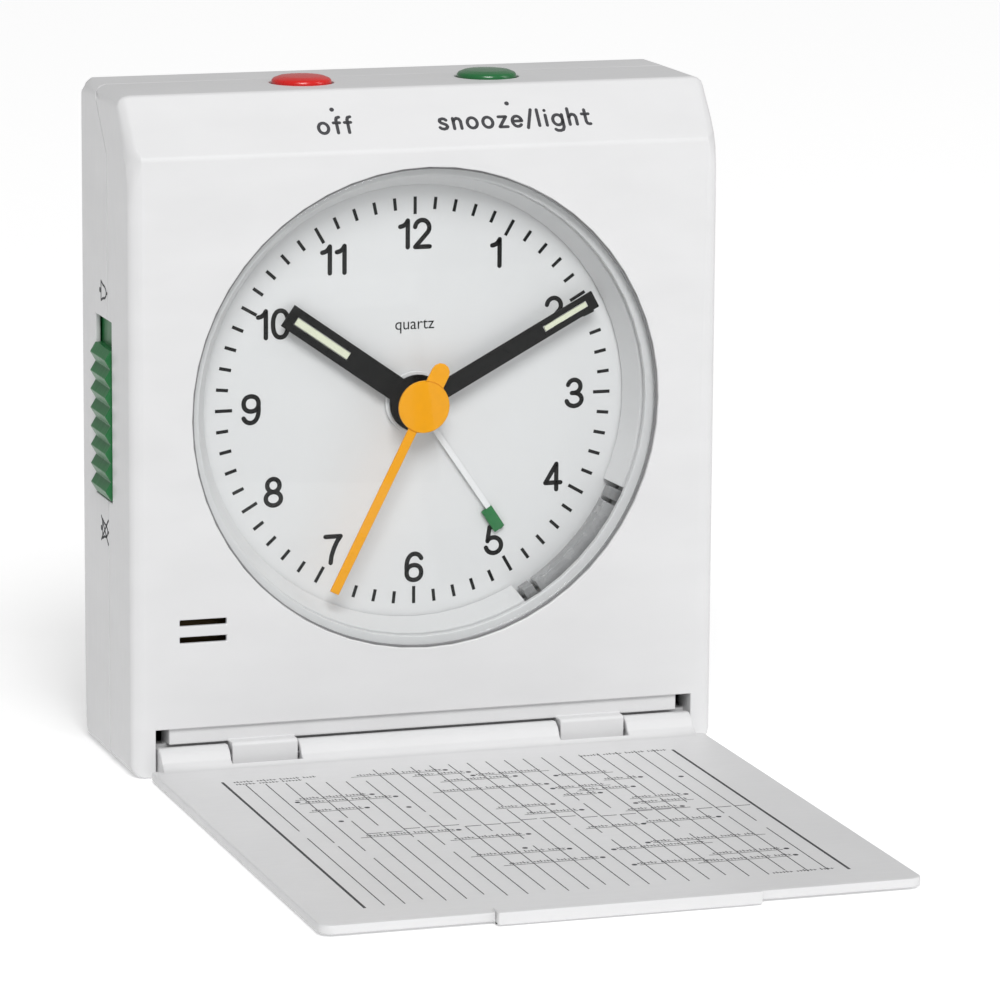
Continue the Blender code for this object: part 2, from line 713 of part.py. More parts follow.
def insert(name, angle, front_y, window):
    """The luminous strip held in a hand's window."""
    start, end, width = window
    strip = bar_points(start + 0.1 * MM, end - 0.1 * MM, width - 0.2 * MM)
    middle = on_dial(CENTRE_AT, front_y + HAND_THICKNESS / 2)
    outline(name, [turn_points(strip, angle)], HAND_THICKNESS * 0.8, middle, FACE_Y, CREAM)


def hands():
    hand("alarm_hand", "alarm", ALARM_ANGLE, ALARM_HAND_Y, 3.9 * MM, 2.9 * MM, 20.0 * MM,
         0.7 * MM, None, WHITE)
    hand("hour_hand", "hour", HOUR_ANGLE, HOUR_HAND_Y, 3.6 * MM, 2.4 * MM, 20.5 * MM,
         3.1 * MM, HOUR_WINDOW, BLACK)
    insert("hour_insert", HOUR_ANGLE, HOUR_HAND_Y, HOUR_WINDOW)
    hand("minute_hand", "minute", MINUTE_ANGLE, MINUTE_HAND_Y, 2.6 * MM, 1.9 * MM, 26.0 * MM,
         2.25 * MM, MINUTE_WINDOW, BLACK)
    insert("minute_insert", MINUTE_ANGLE, MINUTE_HAND_Y, MINUTE_WINDOW)
    second = hand("second_hand", "second", SECOND_ANGLE, SECOND_HAND_Y, 3.3 * MM, 0.0,
                  25.7 * MM, 1.2 * MM, None, YELLOW)
    half = TAIL_WIDTH / 2
    tail = [(half, 0.0), (-half, 0.0)]
    tail += arc((0.0, -TAIL_LENGTH), half, math.pi, math.tau, 6)
    tail = turn_points(tail, SECOND_ANGLE)
    middle = on_dial(CENTRE_AT, SECOND_HAND_Y + HAND_THICKNESS / 2)
    join(second, outline("second_tail", [tail], HAND_THICKNESS + 0.02 * MM, middle, FACE_Y))
    cut(second, cylinder_y("second_bore", PIPE_RADII["second"][1] + 0.1 * MM, 0, DIAL_Z,
                           SECOND_HAND_Y + 0.15 * MM, SECOND_HAND_Y + WALL, segments=12))


# ---------------------------------------------------------------- movement


def wheels():
    third_module = tooth_module(THIRD_DISTANCE, SECOND_PINION, THIRD_TEETH)
    centre_module = tooth_module(THIRD_DISTANCE, THIRD_PINION, CENTRE_TEETH)
    second_module = tooth_module(INTERMEDIATE_DISTANCE, INTERMEDIATE_PINION, SECOND_TEETH)
    rotor_module = tooth_module(ROTOR_DISTANCE, ROTOR_TEETH, INTERMEDIATE_TEETH)
    cannon_module = tooth_module(MINUTE_DISTANCE, CANNON_TEETH, MINUTE_TEETH)
    hour_module = tooth_module(MINUTE_DISTANCE, MINUTE_PINION, HOUR_TEETH)
    alarm_module = tooth_module(ALARM_DISTANCE, ALARM_PINION, ALARM_TEETH)
    front_pivot = PLATE_FRONT_Y + PLATE_THICKNESS - PIVOT_END
    rear_pivot = PLATE_REAR_Y + PIVOT_END

    phase = meshing_phase(ROTOR_AT, INTERMEDIATE_AT, ROTOR_TEETH, INTERMEDIATE_TEETH)
    wheel = gear("intermediate_wheel", INTERMEDIATE_AT, INTERMEDIATE_TEETH, rotor_module, phase,
                 1.9 * MM, 2.5 * MM, spec=NATURAL)
    join(wheel, gear("intermediate_pinion", INTERMEDIATE_AT, INTERMEDIATE_PINION, second_module,
                     0.0, -0.2 * MM, 0.8 * MM),
         arbor("intermediate_arbor", INTERMEDIATE_AT, front_pivot, rear_pivot))

    magnet = cylinder_y("rotor", 2.4 * MM, ROTOR_AT[0], DIAL_Z + ROTOR_AT[1], -3.4 * MM,
                        -0.4 * MM, MAGNET, 20)
    join(magnet, gear("rotor_pinion", ROTOR_AT, ROTOR_TEETH, rotor_module, 0.0, 1.7 * MM,
                      2.7 * MM),
         arbor("rotor_arbor", ROTOR_AT, front_pivot, rear_pivot))

    phase = meshing_phase(INTERMEDIATE_AT, CENTRE_AT, INTERMEDIATE_PINION, SECOND_TEETH)
    wheel = gear("second_wheel", CENTRE_AT, SECOND_TEETH, second_module, phase, 0.0, 0.6 * MM,
                 spec=NATURAL)
    join(wheel, gear("second_pinion", CENTRE_AT, SECOND_PINION, third_module, 0.0, 0.5 * MM,
                     1.8 * MM),
         arbor("second_shaft", CENTRE_AT, SECOND_HAND_Y + 0.25 * MM, rear_pivot))

    phase = meshing_phase(CENTRE_AT, THIRD_AT, SECOND_PINION, THIRD_TEETH)
    wheel = gear("third_wheel", THIRD_AT, THIRD_TEETH, third_module, phase, 0.9 * MM, 1.5 * MM,
                 spec=NATURAL)
    join(wheel, gear("third_pinion", THIRD_AT, THIRD_PINION, centre_module, 0.0, -1.4 * MM,
                     -0.2 * MM),
         arbor("third_arbor", THIRD_AT, front_pivot, rear_pivot))

    phase = meshing_phase(THIRD_AT, CENTRE_AT, THIRD_PINION, CENTRE_TEETH)
    wheel = gear("centre_wheel", CENTRE_AT, CENTRE_TEETH, centre_module, phase, -1.1 * MM,
                 -0.5 * MM, spec=NATURAL)
    join(wheel, gear("cannon_pinion", CENTRE_AT, CANNON_TEETH, cannon_module, 0.0, -2.2 * MM,
                     -1.0 * MM),
         arbor("minute_pipe", CENTRE_AT, MINUTE_HAND_Y + HAND_THICKNESS + 0.1 * MM, -0.9 * MM,
               PIPE_RADII["minute"][1]))
    cut(wheel, cylinder_y("minute_pipe_bore", PIPE_RADII["minute"][0], 0, DIAL_Z,
                          MINUTE_HAND_Y - WALL, WALL, segments=12))

    phase = meshing_phase(CENTRE_AT, MINUTE_AT, CANNON_TEETH, MINUTE_TEETH)
    wheel = gear("minute_wheel", MINUTE_AT, MINUTE_TEETH, cannon_module, phase, -2.0 * MM,
                 -1.4 * MM, spec=NATURAL)
    join(wheel, gear("minute_pinion", MINUTE_AT, MINUTE_PINION, hour_module, 0.0, -3.25 * MM,
                     -1.9 * MM),
         arbor("time_shaft", MINUTE_AT, front_pivot, KNOB_FRONT_Y - GAP, SHAFT_RADIUS))

    phase = meshing_phase(MINUTE_AT, CENTRE_AT, MINUTE_PINION, HOUR_TEETH)
    wheel = gear("hour_wheel", CENTRE_AT, HOUR_TEETH, hour_module, phase, -3.1 * MM, -2.5 * MM,
                 spec=NATURAL)
    join(wheel, arbor("hour_pipe", CENTRE_AT, HOUR_HAND_Y + HAND_THICKNESS + 0.1 * MM,
                      -2.7 * MM, PIPE_RADII["hour"][1]))
    cut(wheel, cylinder_y("hour_pipe_bore", PIPE_RADII["hour"][0], 0, DIAL_Z,
                          HOUR_HAND_Y - WALL, WALL, segments=16))

    wheel = gear("alarm_shaft", ALARM_AT, ALARM_PINION, alarm_module, 0.0, -4.1 * MM, -3.3 * MM,
                 spec=NATURAL)
    join(wheel, arbor("alarm_stem", ALARM_AT, front_pivot, KNOB_FRONT_Y - GAP, SHAFT_RADIUS))
    phase = meshing_phase(ALARM_AT, CENTRE_AT, ALARM_PINION, ALARM_TEETH)
    wheel = gear("alarm_wheel", CENTRE_AT, ALARM_TEETH, alarm_module, phase, -4.05 * MM,
                 -3.5 * MM, spec=NATURAL)
    join(wheel, arbor("alarm_pipe", CENTRE_AT, ALARM_HAND_Y + HAND_THICKNESS + 0.1 * MM,
                      -3.6 * MM, PIPE_RADII["alarm"][1]))
    cut(wheel, cylinder_y("alarm_pipe_bore", PIPE_RADII["alarm"][0], 0, DIAL_Z,
                          ALARM_HAND_Y - WALL, WALL, segments=16))


def plate_blank(name, y_low, y_high, spec):
    low = (PLATE_LEFT, y_low, PLATE_BOTTOM)
    return box(name, low, (PLATE_RIGHT, y_high, PLATE_TOP), spec)


def pierce(plate, y_low, y_high, holes):
    for i, (at, radius) in enumerate(holes):
        cut(plate, cylinder_y(f"{plate.name}_hole_{i}", radius, at[0], DIAL_Z + at[1],
                              y_low - WALL, y_high + WALL, segments=12))


def movement_frame():
    pivot = ARBOR_RADIUS + PIVOT_CLEARANCE
    shaft = SHAFT_RADIUS + PIVOT_CLEARANCE
    arbors = [(THIRD_AT, pivot), (INTERMEDIATE_AT, pivot), (ROTOR_AT, pivot)]
    knobs = [(MINUTE_AT, shaft), (ALARM_AT, shaft)]

    front_back = PLATE_FRONT_Y + PLATE_THICKNESS
    front = plate_blank("movement_front_plate", PLATE_FRONT_Y, front_back, NATURAL)
    pierce(front, PLATE_FRONT_Y, front_back, arbors + knobs + [(CENTRE_AT, DIAL_HOLE)])

    rear_back = PLATE_REAR_Y + PLATE_THICKNESS
    rear = plate_blank("movement_rear_plate", PLATE_REAR_Y, rear_back, NATURAL)
    for x in (PLATE_LEFT + PILLAR_INSET, PLATE_RIGHT - PILLAR_INSET):
        for z in (PLATE_BOTTOM + PILLAR_INSET, PLATE_TOP - PILLAR_INSET):
            join(rear, cylinder_y("pillar", PILLAR_RADIUS, x, z, front_back + GAP,
                                  PLATE_REAR_Y + PLATE_THICKNESS / 2, segments=12))
    pierce(rear, PLATE_REAR_Y, rear_back, arbors + knobs + [(CENTRE_AT, pivot)])

    board = plate_blank("circuit_board", BOARD_Y, BOARD_Y + BOARD_THICKNESS, BOARD)
    wide = [(at, radius + GAP) for at, radius in knobs]
    pierce(board, BOARD_Y, BOARD_Y + BOARD_THICKNESS, wide)


def motor():
    """The stepping motor: a stator plate round the rotor, and a coil on a core."""
    left, right, arm = 0.0, 17.6 * MM, 2.6 * MM
    yoke_low, yoke_high, top = 11.0 * MM, 13.6 * MM, 20.6 * MM
    block_left, block_low = 7.6 * MM, 5.0 * MM
    points = [
        (block_left, block_low), (right, block_low), (right, top), (right - arm, top),
        (right - arm, yoke_high), (left + arm, yoke_high), (left + arm, top), (left, top),
        (left, yoke_low), (block_left, yoke_low),
    ]
    hole = [(u + ROTOR_AT[0], v + ROTOR_AT[1]) for u, v in ring(3.0 * MM, 20)]
    stator_low, stator_high = -2.4 * MM, -1.4 * MM
    outline("stator", [points, hole], stator_high - stator_low,
            on_dial(CENTRE_AT, (stator_low + stator_high) / 2), FACE_Y, STEEL)

    core_z = DIAL_Z + 18.6 * MM
    core_low, core_high = stator_high + GAP, stator_high + GAP + 1.0 * MM
    box("coil_core", (left, core_low, core_z - 1.0 * MM), (right, core_high, core_z + 1.0 * MM),
        STEEL)
    axis_y = (core_low + core_high) / 2
    start, end = (left + arm + 2 * GAP, axis_y, core_z), (right - arm - 2 * GAP, axis_y, core_z)
    coil = cylinder("coil_winding", 3.0 * MM, start, end, COPPER, 20)
    cut(coil, box("coil_bore", (left - arm, core_low - GAP, core_z - 1.3 * MM),
                  (right + arm, core_high + GAP, core_z + 1.3 * MM)))


def knobs():
    """The two setting knobs in their pockets at the back, with finger grooves."""
    for name, at in (("time_knob", MINUTE_AT), ("alarm_knob", ALARM_AT)):
        teeth = 24
        points = []
        for i in range(teeth):
            for radius, share in ((KNOB_RADIUS - GAP, 0.0), (KNOB_RADIUS, 0.5)):
                angle = math.tau * (i + share) / teeth
                points.append((radius * math.cos(angle), radius * math.sin(angle)))
        middle = on_dial(at, (KNOB_FRONT_Y + KNOB_BACK_Y) / 2)
        knob = outline(name, [points], KNOB_BACK_Y - KNOB_FRONT_Y, middle, FACE_Y, WHITE)
        x, z = at[0], DIAL_Z + at[1]
        cut(knob, box(name + "_groove", (x - 0.5 * MM, KNOB_BACK_Y - 0.8 * MM, z - 4.5 * MM),
                      (x + 0.5 * MM, KNOB_BACK_Y + WALL, z + 4.5 * MM)))


def buzzer():
    back = INNER_FRONT_Y + 4.4 * MM
    front = INNER_FRONT_Y + GAP
    cup = cylinder_y("buzzer_cup", BUZZER_RADIUS, BUZZER_X, BUZZER_Z, front, back, BLACK, 28)
    cut(cup, cylinder_y("buzzer_hollow", BUZZER_RADIUS - 0.8 * MM, BUZZER_X, BUZZER_Z,
                        front - WALL, back - 0.8 * MM, segments=28))
    cylinder_y("buzzer_disc", BUZZER_RADIUS - 1.1 * MM, BUZZER_X, BUZZER_Z, front + 1.4 * MM,
               front + 1.8 * MM, BRASS, 28)


# ---------------------------------------------------------------- buttons and slider


def button_profile(stem_radius, stem_bottom, flange_top):
    """A domed cap, a flange that stops below the case wall, and a stem, from the top down."""
    dome = 0.25 * MM
    return [
        (0.0, BUTTON_TOP),
        (BUTTON_RADIUS * 0.55, BUTTON_TOP - dome * 0.3),
        (BUTTON_RADIUS - 0.45 * MM, BUTTON_TOP - dome),
        (BUTTON_RADIUS, BUTTON_TOP - dome - 0.35 * MM),
        (BUTTON_RADIUS, flange_top),
        (FLANGE_RADIUS, flange_top),
        (FLANGE_RADIUS, flange_top - FLANGE_THICKNESS),
        (stem_radius, flange_top - FLANGE_THICKNESS),
        (stem_radius, stem_bottom),
        (0.0, stem_bottom),
    ]


def alarm_switch():
    """The ridged slider, the bar that carries its movement across, and the off button."""
    wall_x = -CASE_WIDTH / 2
    base_x = wall_x + SLIDER_RECESS
    bottom = SLOT_BOTTOM + 0.25 * MM
    inside = base_x + SLIDER_BASE / 2
    points = [(inside, bottom), (wall_x - RIDGE_VALLEY, bottom)]
    for i in range(RIDGES):
        points.append((wall_x - RIDGE_PEAK, bottom + (i + 0.5) * RIDGE_PITCH))
        points.append((wall_x - RIDGE_VALLEY, bottom + (i + 1) * RIDGE_PITCH))
    points.append((inside, bottom + RIDGES * RIDGE_PITCH))
    width = SLOT_BACK_Y - SLOT_FRONT_Y - 2 * GAP
    middle_y = (SLOT_BACK_Y + SLOT_FRONT_Y) / 2
    slider = outline("alarm_slider", [points[::-1]], width, (0, middle_y, 0), FACE_Y, GREEN)
    join(slider, box("slider_base", (base_x, SLOT_FRONT_Y - 1.0 * MM, SLIDER_LOW),
                     (base_x + SLIDER_BASE, SLOT_BACK_Y + 1.0 * MM, SLIDER_HIGH)))

    link_x = base_x + SLIDER_BASE + GAP
    inner_x, bar_end = link_x + LINK_THICKNESS, OFF_X + 2.0 * MM
    points = [
        (link_x, LINK_FOOT), (inner_x, LINK_FOOT), (inner_x, LINK_BOTTOM),
        (bar_end, LINK_BOTTOM), (bar_end, LINK_TOP), (link_x, LINK_TOP),
    ]
    outline("alarm_link", [points], 3.0 * MM, (0, BUTTON_Y, 0), FACE_Y, NATURAL)

    flange_top = INNER_TOP - ALARM_TRAVEL - 2 * GAP
    turned("off_button", button_profile(1.5 * MM, LINK_TOP + GAP, flange_top),
           (OFF_X, BUTTON_Y, 0), UPRIGHT, RED, 24)


def snooze():
    flange_top = INNER_TOP - GAP
    stem_bottom = SWITCH_TOP + SNOOZE_TRAVEL + 0.4 * MM
    turned("snooze_button", button_profile(1.3 * MM, stem_bottom, flange_top),
           (SNOOZE_X, BUTTON_Y, 0), UPRIGHT, GREEN, 24)
    box("snooze_switch", (SNOOZE_X - SWITCH_HALF, BUTTON_Y - SWITCH_HALF, SWITCH_BOTTOM),
        (SNOOZE_X + SWITCH_HALF, BUTTON_Y + SWITCH_HALF, SWITCH_TOP), BLACK)

    wire, radius, turns, per_turn = 0.2 * MM, 2.1 * MM, 3, 9
    low = SWITCH_TOP + GAP + wire
    high = flange_top - FLANGE_THICKNESS - GAP - wire
    curve = bpy.data.curves.new("snooze_spring", "CURVE")
    curve.dimensions = "3D"
    curve.bevel_depth = wire
    curve.bevel_resolution = 2
    curve.use_fill_caps = True
    spline = curve.splines.new("POLY")
    count = turns * per_turn + 1
    spline.points.add(count - 1)
    for i, point in enumerate(spline.points):
        angle = math.tau * i / per_turn
        height = low + (high - low) * i / (count - 1)
        point.co = (radius * math.cos(angle), radius * math.sin(angle), height, 1.0)
    curve.materials.append(material(STEEL))
    spring = bpy.data.objects.new("snooze_spring", curve)
    spring.location = (SNOOZE_X, BUTTON_Y, 0)
    collection("travel_alarm_clock").objects.link(spring)


# ---------------------------------------------------------------- cover


def cover():
    """The folding front cover, lying open, with a flat band over its hinge barrel."""
    rear = FRONT_Y - 2.0 * MM
    corner = COVER_CORNER
    points = [(COVER_HALF, rear), (-COVER_HALF, rear)]
    points += arc((-COVER_HALF + corner, COVER_FAR_Y + corner), corner, math.pi, 1.5 * math.pi, 5)
    points += arc((COVER_HALF - corner, COVER_FAR_Y + corner), corner, 1.5 * math.pi, math.tau, 5)
    thickness = COVER_TOP - COVER_BOTTOM
    middle = (0, 0, (COVER_TOP + COVER_BOTTOM) / 2)
    plate = outline("cover", [points], thickness, middle, UPRIGHT, WHITE)
    barrel_start, barrel_end = (-BARREL_HALF, HINGE_Y, HINGE_Z), (BARREL_HALF, HINGE_Y, HINGE_Z)
    low, high, crown = COVER_BOTTOM + 0.1 * MM, COVER_TOP - 0.05 * MM, HINGE_Z + 1.75 * MM
    profile = [
        (rear - 1.9 * MM, low),
        (HINGE_Y, low),
        (HINGE_Y, crown),
        (HINGE_Y - 0.5 * MM, crown),
        (HINGE_Y - 1.45 * MM, HINGE_Z + 1.15 * MM),
        (HINGE_Y - 2.0 * MM, HINGE_Z + 0.2 * MM),
        (HINGE_Y - 3.6 * MM, high),
        (rear - 1.9 * MM, high),
    ]
    band = outline("cover_band", [profile], 2 * BARREL_HALF, (0, 0, 0), FACE_X)
    latch = box("cover_latch", (-LATCH_HALF, COVER_FAR_Y - LATCH_REACH, COVER_BOTTOM - 0.1 * MM),
                (LATCH_HALF, COVER_FAR_Y + 1.0 * MM, COVER_TOP + LATCH_RISE))
    join(plate, band, cylinder("cover_barrel", BARREL_RADIUS, barrel_start, barrel_end,
                               segments=32), latch)
    for side in (-1, 1):
        inner, outer = sorted((side * (KNUCKLE_IN - GAP), side * (KNUCKLE_OUT + GAP)))
        cut(plate, box(f"cover_notch_{side}", (inner, HINGE_Y - NOTCH_FRONT, -WALL),
                       (outer, HINGE_Y + 3 * WALL, 4 * WALL)))
        cut(plate, cylinder(f"cover_bore_{side}", PIN_BORE,
                            (side * (KNUCKLE_IN - PIN_REACH - GAP), HINGE_Y, HINGE_Z),
                            (side * (KNUCKLE_OUT + PIN_REACH + GAP), HINGE_Y, HINGE_Z),
                            segments=12))
    for name, side in (("hinge_pin_left", -1), ("hinge_pin_right", 1)):
        cylinder(name, PIN_RADIUS, (side * (KNUCKLE_IN - PIN_REACH), HINGE_Y, HINGE_Z),
                 (side * (KNUCKLE_OUT + PIN_REACH), HINGE_Y, HINGE_Z), STEEL, 12)


# ---------------------------------------------------------------- battery


def battery():
    inner_y = CELL_Y - CELL_RADIUS - 0.25 * MM
    low_z, high_z = CELL_Z - CELL_RADIUS - 0.25 * MM, CELL_Z + CELL_RADIUS + 0.25 * MM
    outer = BAY_HALF + BAY_WALL
    tray = box("battery_box", (-outer, inner_y - BAY_WALL, low_z - BAY_WALL),
               (outer, INNER_BACK_Y - GAP, high_z + BAY_WALL), NATURAL)
    cut(tray, box("battery_hollow", (-BAY_HALF, inner_y, low_z), (BAY_HALF, BACK_Y, high_z)))

    right = CELL_LEFT + CELL_LENGTH
    profile = [
        (0.0, CELL_LENGTH + CELL_NUB),
        (2.7 * MM, CELL_LENGTH + CELL_NUB),
        (2.7 * MM, CELL_LENGTH),
        (CELL_RADIUS - 0.4 * MM, CELL_LENGTH),
        (CELL_RADIUS, CELL_LENGTH - 0.4 * MM),
        (CELL_RADIUS, 0.4 * MM),
        (CELL_RADIUS - 0.4 * MM, 0.0),
        (0.0, 0.0),
    ]
    turned("battery_cell", profile, (CELL_LEFT, CELL_Y, CELL_Z),
           Matrix.Rotation(math.pi / 2, 4, "Y"), CELL, 20)

    plate_x = right + CELL_NUB + GAP
    half = 4.0 * MM
    box("contact_positive", (plate_x, CELL_Y - half, CELL_Z - half),
        (plate_x + 0.3 * MM, CELL_Y + half, CELL_Z + half), STEEL)

    back_x = -BAY_HALF + GAP
    reach = CELL_LEFT - GAP - back_x
    profile = [
        (0.0, reach),
        (1.5 * MM, reach),
        (3.4 * MM, 0.4 * MM),
        (4.2 * MM, 0.4 * MM),
        (4.2 * MM, 0.0),
        (0.0, 0.0),
    ]
    turned("contact_negative", profile, (back_x, CELL_Y, CELL_Z),
           Matrix.Rotation(math.pi / 2, 4, "Y"), STEEL, 20)


def battery_door():
    front, back = INNER_BACK_Y + 0.2 * MM, BACK_Y - 0.1 * MM
    door = box("battery_door", (-DOOR_HALF, front, DOOR_BOTTOM), (DOOR_HALF, back, DOOR_TOP),
               WHITE)
    for i in range(3):
        z = DOOR_TOP - (2.0 + 1.6 * i) * MM
        join(door, box(f"door_grip_{i}", (-5.0 * MM, back - 0.3 * MM, z - 0.3 * MM),
                       (5.0 * MM, back + 0.1 * MM, z + 0.3 * MM)))


def main():
    clear_scene()
    front_housing()
    rear_housing()
    case_screws()
    lens()
    bezel_ring()
    dial_light()
    dial_plate()
    hands()
    wheels()
    movement_frame()
    motor()
    knobs()
    buzzer()
    alarm_switch()
    snooze()
    cover()
    battery()
    battery_door()


main()
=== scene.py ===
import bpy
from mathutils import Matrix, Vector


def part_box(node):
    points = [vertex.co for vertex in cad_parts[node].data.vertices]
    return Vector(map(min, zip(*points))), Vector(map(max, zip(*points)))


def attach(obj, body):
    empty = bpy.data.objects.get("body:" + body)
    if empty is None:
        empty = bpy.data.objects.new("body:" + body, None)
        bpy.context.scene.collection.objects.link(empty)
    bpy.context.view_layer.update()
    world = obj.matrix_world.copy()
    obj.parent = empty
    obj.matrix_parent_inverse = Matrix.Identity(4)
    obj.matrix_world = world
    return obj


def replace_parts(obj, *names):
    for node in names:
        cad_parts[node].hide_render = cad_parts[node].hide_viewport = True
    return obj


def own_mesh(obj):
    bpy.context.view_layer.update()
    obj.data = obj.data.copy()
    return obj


bl_info = {
    "name": "Travel Alarm Clock",
    "version": (1, 0, 0),
    "blender": (4, 5, 0),
    "location": "3D View > Sidebar > Clock",
    "description": "Finishes, printing and small parts for a travel alarm clock, and its studio",
    "category": "Object",
}

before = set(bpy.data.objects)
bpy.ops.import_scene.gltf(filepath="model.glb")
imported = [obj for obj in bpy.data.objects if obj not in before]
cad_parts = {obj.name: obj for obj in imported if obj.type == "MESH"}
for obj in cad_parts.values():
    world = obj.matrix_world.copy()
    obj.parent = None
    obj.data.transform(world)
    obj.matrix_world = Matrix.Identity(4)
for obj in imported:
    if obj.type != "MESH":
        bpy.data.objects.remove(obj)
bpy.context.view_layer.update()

import math

import bmesh
import bpy
from bpy.props import FloatProperty, FloatVectorProperty, IntProperty, PointerProperty
from mathutils import Matrix, Vector

MM = 0.001


# ---------------------------------------------------------------- settings


class ClockSizes(bpy.types.PropertyGroup):
    """Sizes of the printing and of the small moulded detail."""

    edge_break: FloatProperty(
        name="Edge break", description="Radius on the case's sharp edges",
        default=0.15 * MM, unit="LENGTH")
    hand_edge: FloatProperty(
        name="Hand edge", description="Radius on the hands' stamped edges",
        default=0.05 * MM, unit="LENGTH")
    ink: FloatProperty(
        name="Ink thickness", description="How far printing stands on its surface",
        default=0.015 * MM, unit="LENGTH")
    minute_track: FloatProperty(
        name="Minute track", description="Radius of the outer ends of the dial's strokes",
        default=25.75 * MM, unit="LENGTH")
    hour_stroke: FloatProperty(
        name="Hour stroke", description="Length of a stroke at an hour",
        default=2.2 * MM, unit="LENGTH")
    minute_stroke: FloatProperty(
        name="Minute stroke", description="Length of a stroke at a minute",
        default=1.55 * MM, unit="LENGTH")
    stroke_width: FloatProperty(
        name="Stroke width", description="Width of the dial's strokes",
        default=0.42 * MM, unit="LENGTH")
    numeral_height: FloatProperty(
        name="Numeral height", description="Height of the dial's numerals",
        default=3.8 * MM, unit="LENGTH")
    numeral_radius: FloatProperty(
        name="Numeral circle", description="Radius of the circle the numerals stand on",
        default=21.1 * MM, unit="LENGTH")
    numeral_weight: FloatProperty(
        name="Numeral weight", description="Width of a numeral's strokes",
        default=0.58 * MM, unit="LENGTH")
    numeral_stretch: FloatProperty(
        name="Numeral stretch", description="Widening of the dial's numerals", default=1.08)
    facet_depth: FloatProperty(
        name="Facet depth", description="How far the top front slope reaches back",
        default=6.0 * MM, unit="LENGTH")
    facet_height: FloatProperty(
        name="Facet height", description="How far the top front slope reaches down",
        default=7.1 * MM, unit="LENGTH")
    label_height: FloatProperty(
        name="Label height", description="Height of the small letters over the dial",
        default=1.8 * MM, unit="LENGTH")
    label_weight: FloatProperty(
        name="Label weight", description="Width of a label's strokes",
        default=0.42 * MM, unit="LENGTH")
    panel_top: FloatProperty(
        name="Panel face", description="Height of the open cover's printed face",
        default=1.4 * MM, unit="LENGTH")
    chart_half: FloatProperty(
        name="Chart half width", description="Distance of the chart's border lines from its middle",
        default=29.2 * MM, unit="LENGTH")
    chart_near: FloatProperty(
        name="Chart start", description="Distance of the chart's hinge end from the case's middle",
        default=22.0 * MM, unit="LENGTH")
    chart_far: FloatProperty(
        name="Chart end", description="Distance of the chart's latch end from the case's middle",
        default=82.0 * MM, unit="LENGTH")
    chart_lines: IntProperty(
        name="Chart lines", description="Thin lines between the chart's borders", default=23)
    cap_edge: FloatProperty(
        name="Button edge", description="Radius round the top of a button",
        default=0.55 * MM, unit="LENGTH")
    lens_edge: FloatProperty(
        name="Lens edge", description="Chamfer round the lens",
        default=0.2 * MM, unit="LENGTH")


class ClockColours(bpy.types.PropertyGroup):
    """Colours of the finishes."""

    case: FloatVectorProperty(
        name="Case", description="White of the case and the cover",
        subtype="COLOR", default=(0.66, 0.66, 0.665))
    dial: FloatVectorProperty(
        name="Dial", description="White of the dial", subtype="COLOR",
        default=(0.72, 0.72, 0.725))
    ink: FloatVectorProperty(
        name="Ink", description="Black of the dial's printing", subtype="COLOR",
        default=(0.012, 0.012, 0.012))
    label: FloatVectorProperty(
        name="Label", description="Dark grey of the labels", subtype="COLOR",
        default=(0.055, 0.055, 0.06))
    hands: FloatVectorProperty(
        name="Hands", description="Black of the hour and minute hands", subtype="COLOR",
        default=(0.008, 0.008, 0.008))
    glow: FloatVectorProperty(
        name="Glow paint", description="Cream of the strips in the hands", subtype="COLOR",
        default=(0.70, 0.73, 0.56))
    second: FloatVectorProperty(
        name="Second hand", description="Yellow of the second hand", subtype="COLOR",
        default=(0.85, 0.36, 0.002))
    red: FloatVectorProperty(
        name="Red", description="Red of the off button", subtype="COLOR",
        default=(0.62, 0.006, 0.004))
    green: FloatVectorProperty(
        name="Green", description="Green of the snooze button and the slider",
        subtype="COLOR", default=(0.010, 0.135, 0.035))
    works: FloatVectorProperty(
        name="Works", description="Natural plastic of the wheels and plates",
        subtype="COLOR", default=(0.70, 0.71, 0.68))
    guide: FloatVectorProperty(
        name="Light guide", description="Grey of the unlit light guide", subtype="COLOR",
        default=(0.30, 0.30, 0.305))


class ClockStudio(bpy.types.PropertyGroup):
    """The floor, the light and the camera."""

    camera_place: FloatVectorProperty(
        name="Camera", description="Where the camera stands", subtype="TRANSLATION",
        default=(-0.2095, -0.6751, 0.1725))
    camera_turn: FloatProperty(
        name="Camera turn", description="Turn of the view towards +X from +Y",
        default=math.radians(18.28), unit="ROTATION")
    camera_tilt: FloatProperty(
        name="Camera tilt", description="Tilt of the view below the horizon",
        default=math.radians(11.34), unit="ROTATION")
    camera_roll: FloatProperty(
        name="Camera roll", description="Roll of the view", default=math.radians(0.4),
        unit="ROTATION")
    lens: FloatProperty(
        name="Focal length", description="Focal length in millimetres", default=205.7)
    sky: FloatProperty(name="Sky", description="Strength of the even light", default=0.35)
    key: FloatProperty(name="Key", description="Strength of the main light", default=1.95)
    floor: FloatVectorProperty(
        name="Floor", description="Colour of the floor", subtype="COLOR",
        default=(0.93, 0.93, 0.93))
    floor_lift: FloatProperty(
        name="Floor lift", description="Light that the backdrop paper gives off by itself",
        default=0.24)


# ---------------------------------------------------------------- finishes


def even_finish(name, colour, roughness, metallic=0.0, coat=0.0, specular=0.5):
    """A material whose even values sit on the shader's own sockets."""
    material = bpy.data.materials.new(name)
    material.use_nodes = True
    shader = material.node_tree.nodes["Principled BSDF"]
    shader.inputs["Base Color"].default_value = (*colour, 1.0)
    shader.inputs["Roughness"].default_value = roughness
    shader.inputs["Metallic"].default_value = metallic
    shader.inputs["Specular IOR Level"].default_value = specular
    shader.inputs["Coat Weight"].default_value = coat
    shader.inputs["Coat Roughness"].default_value = 0.08
    return material


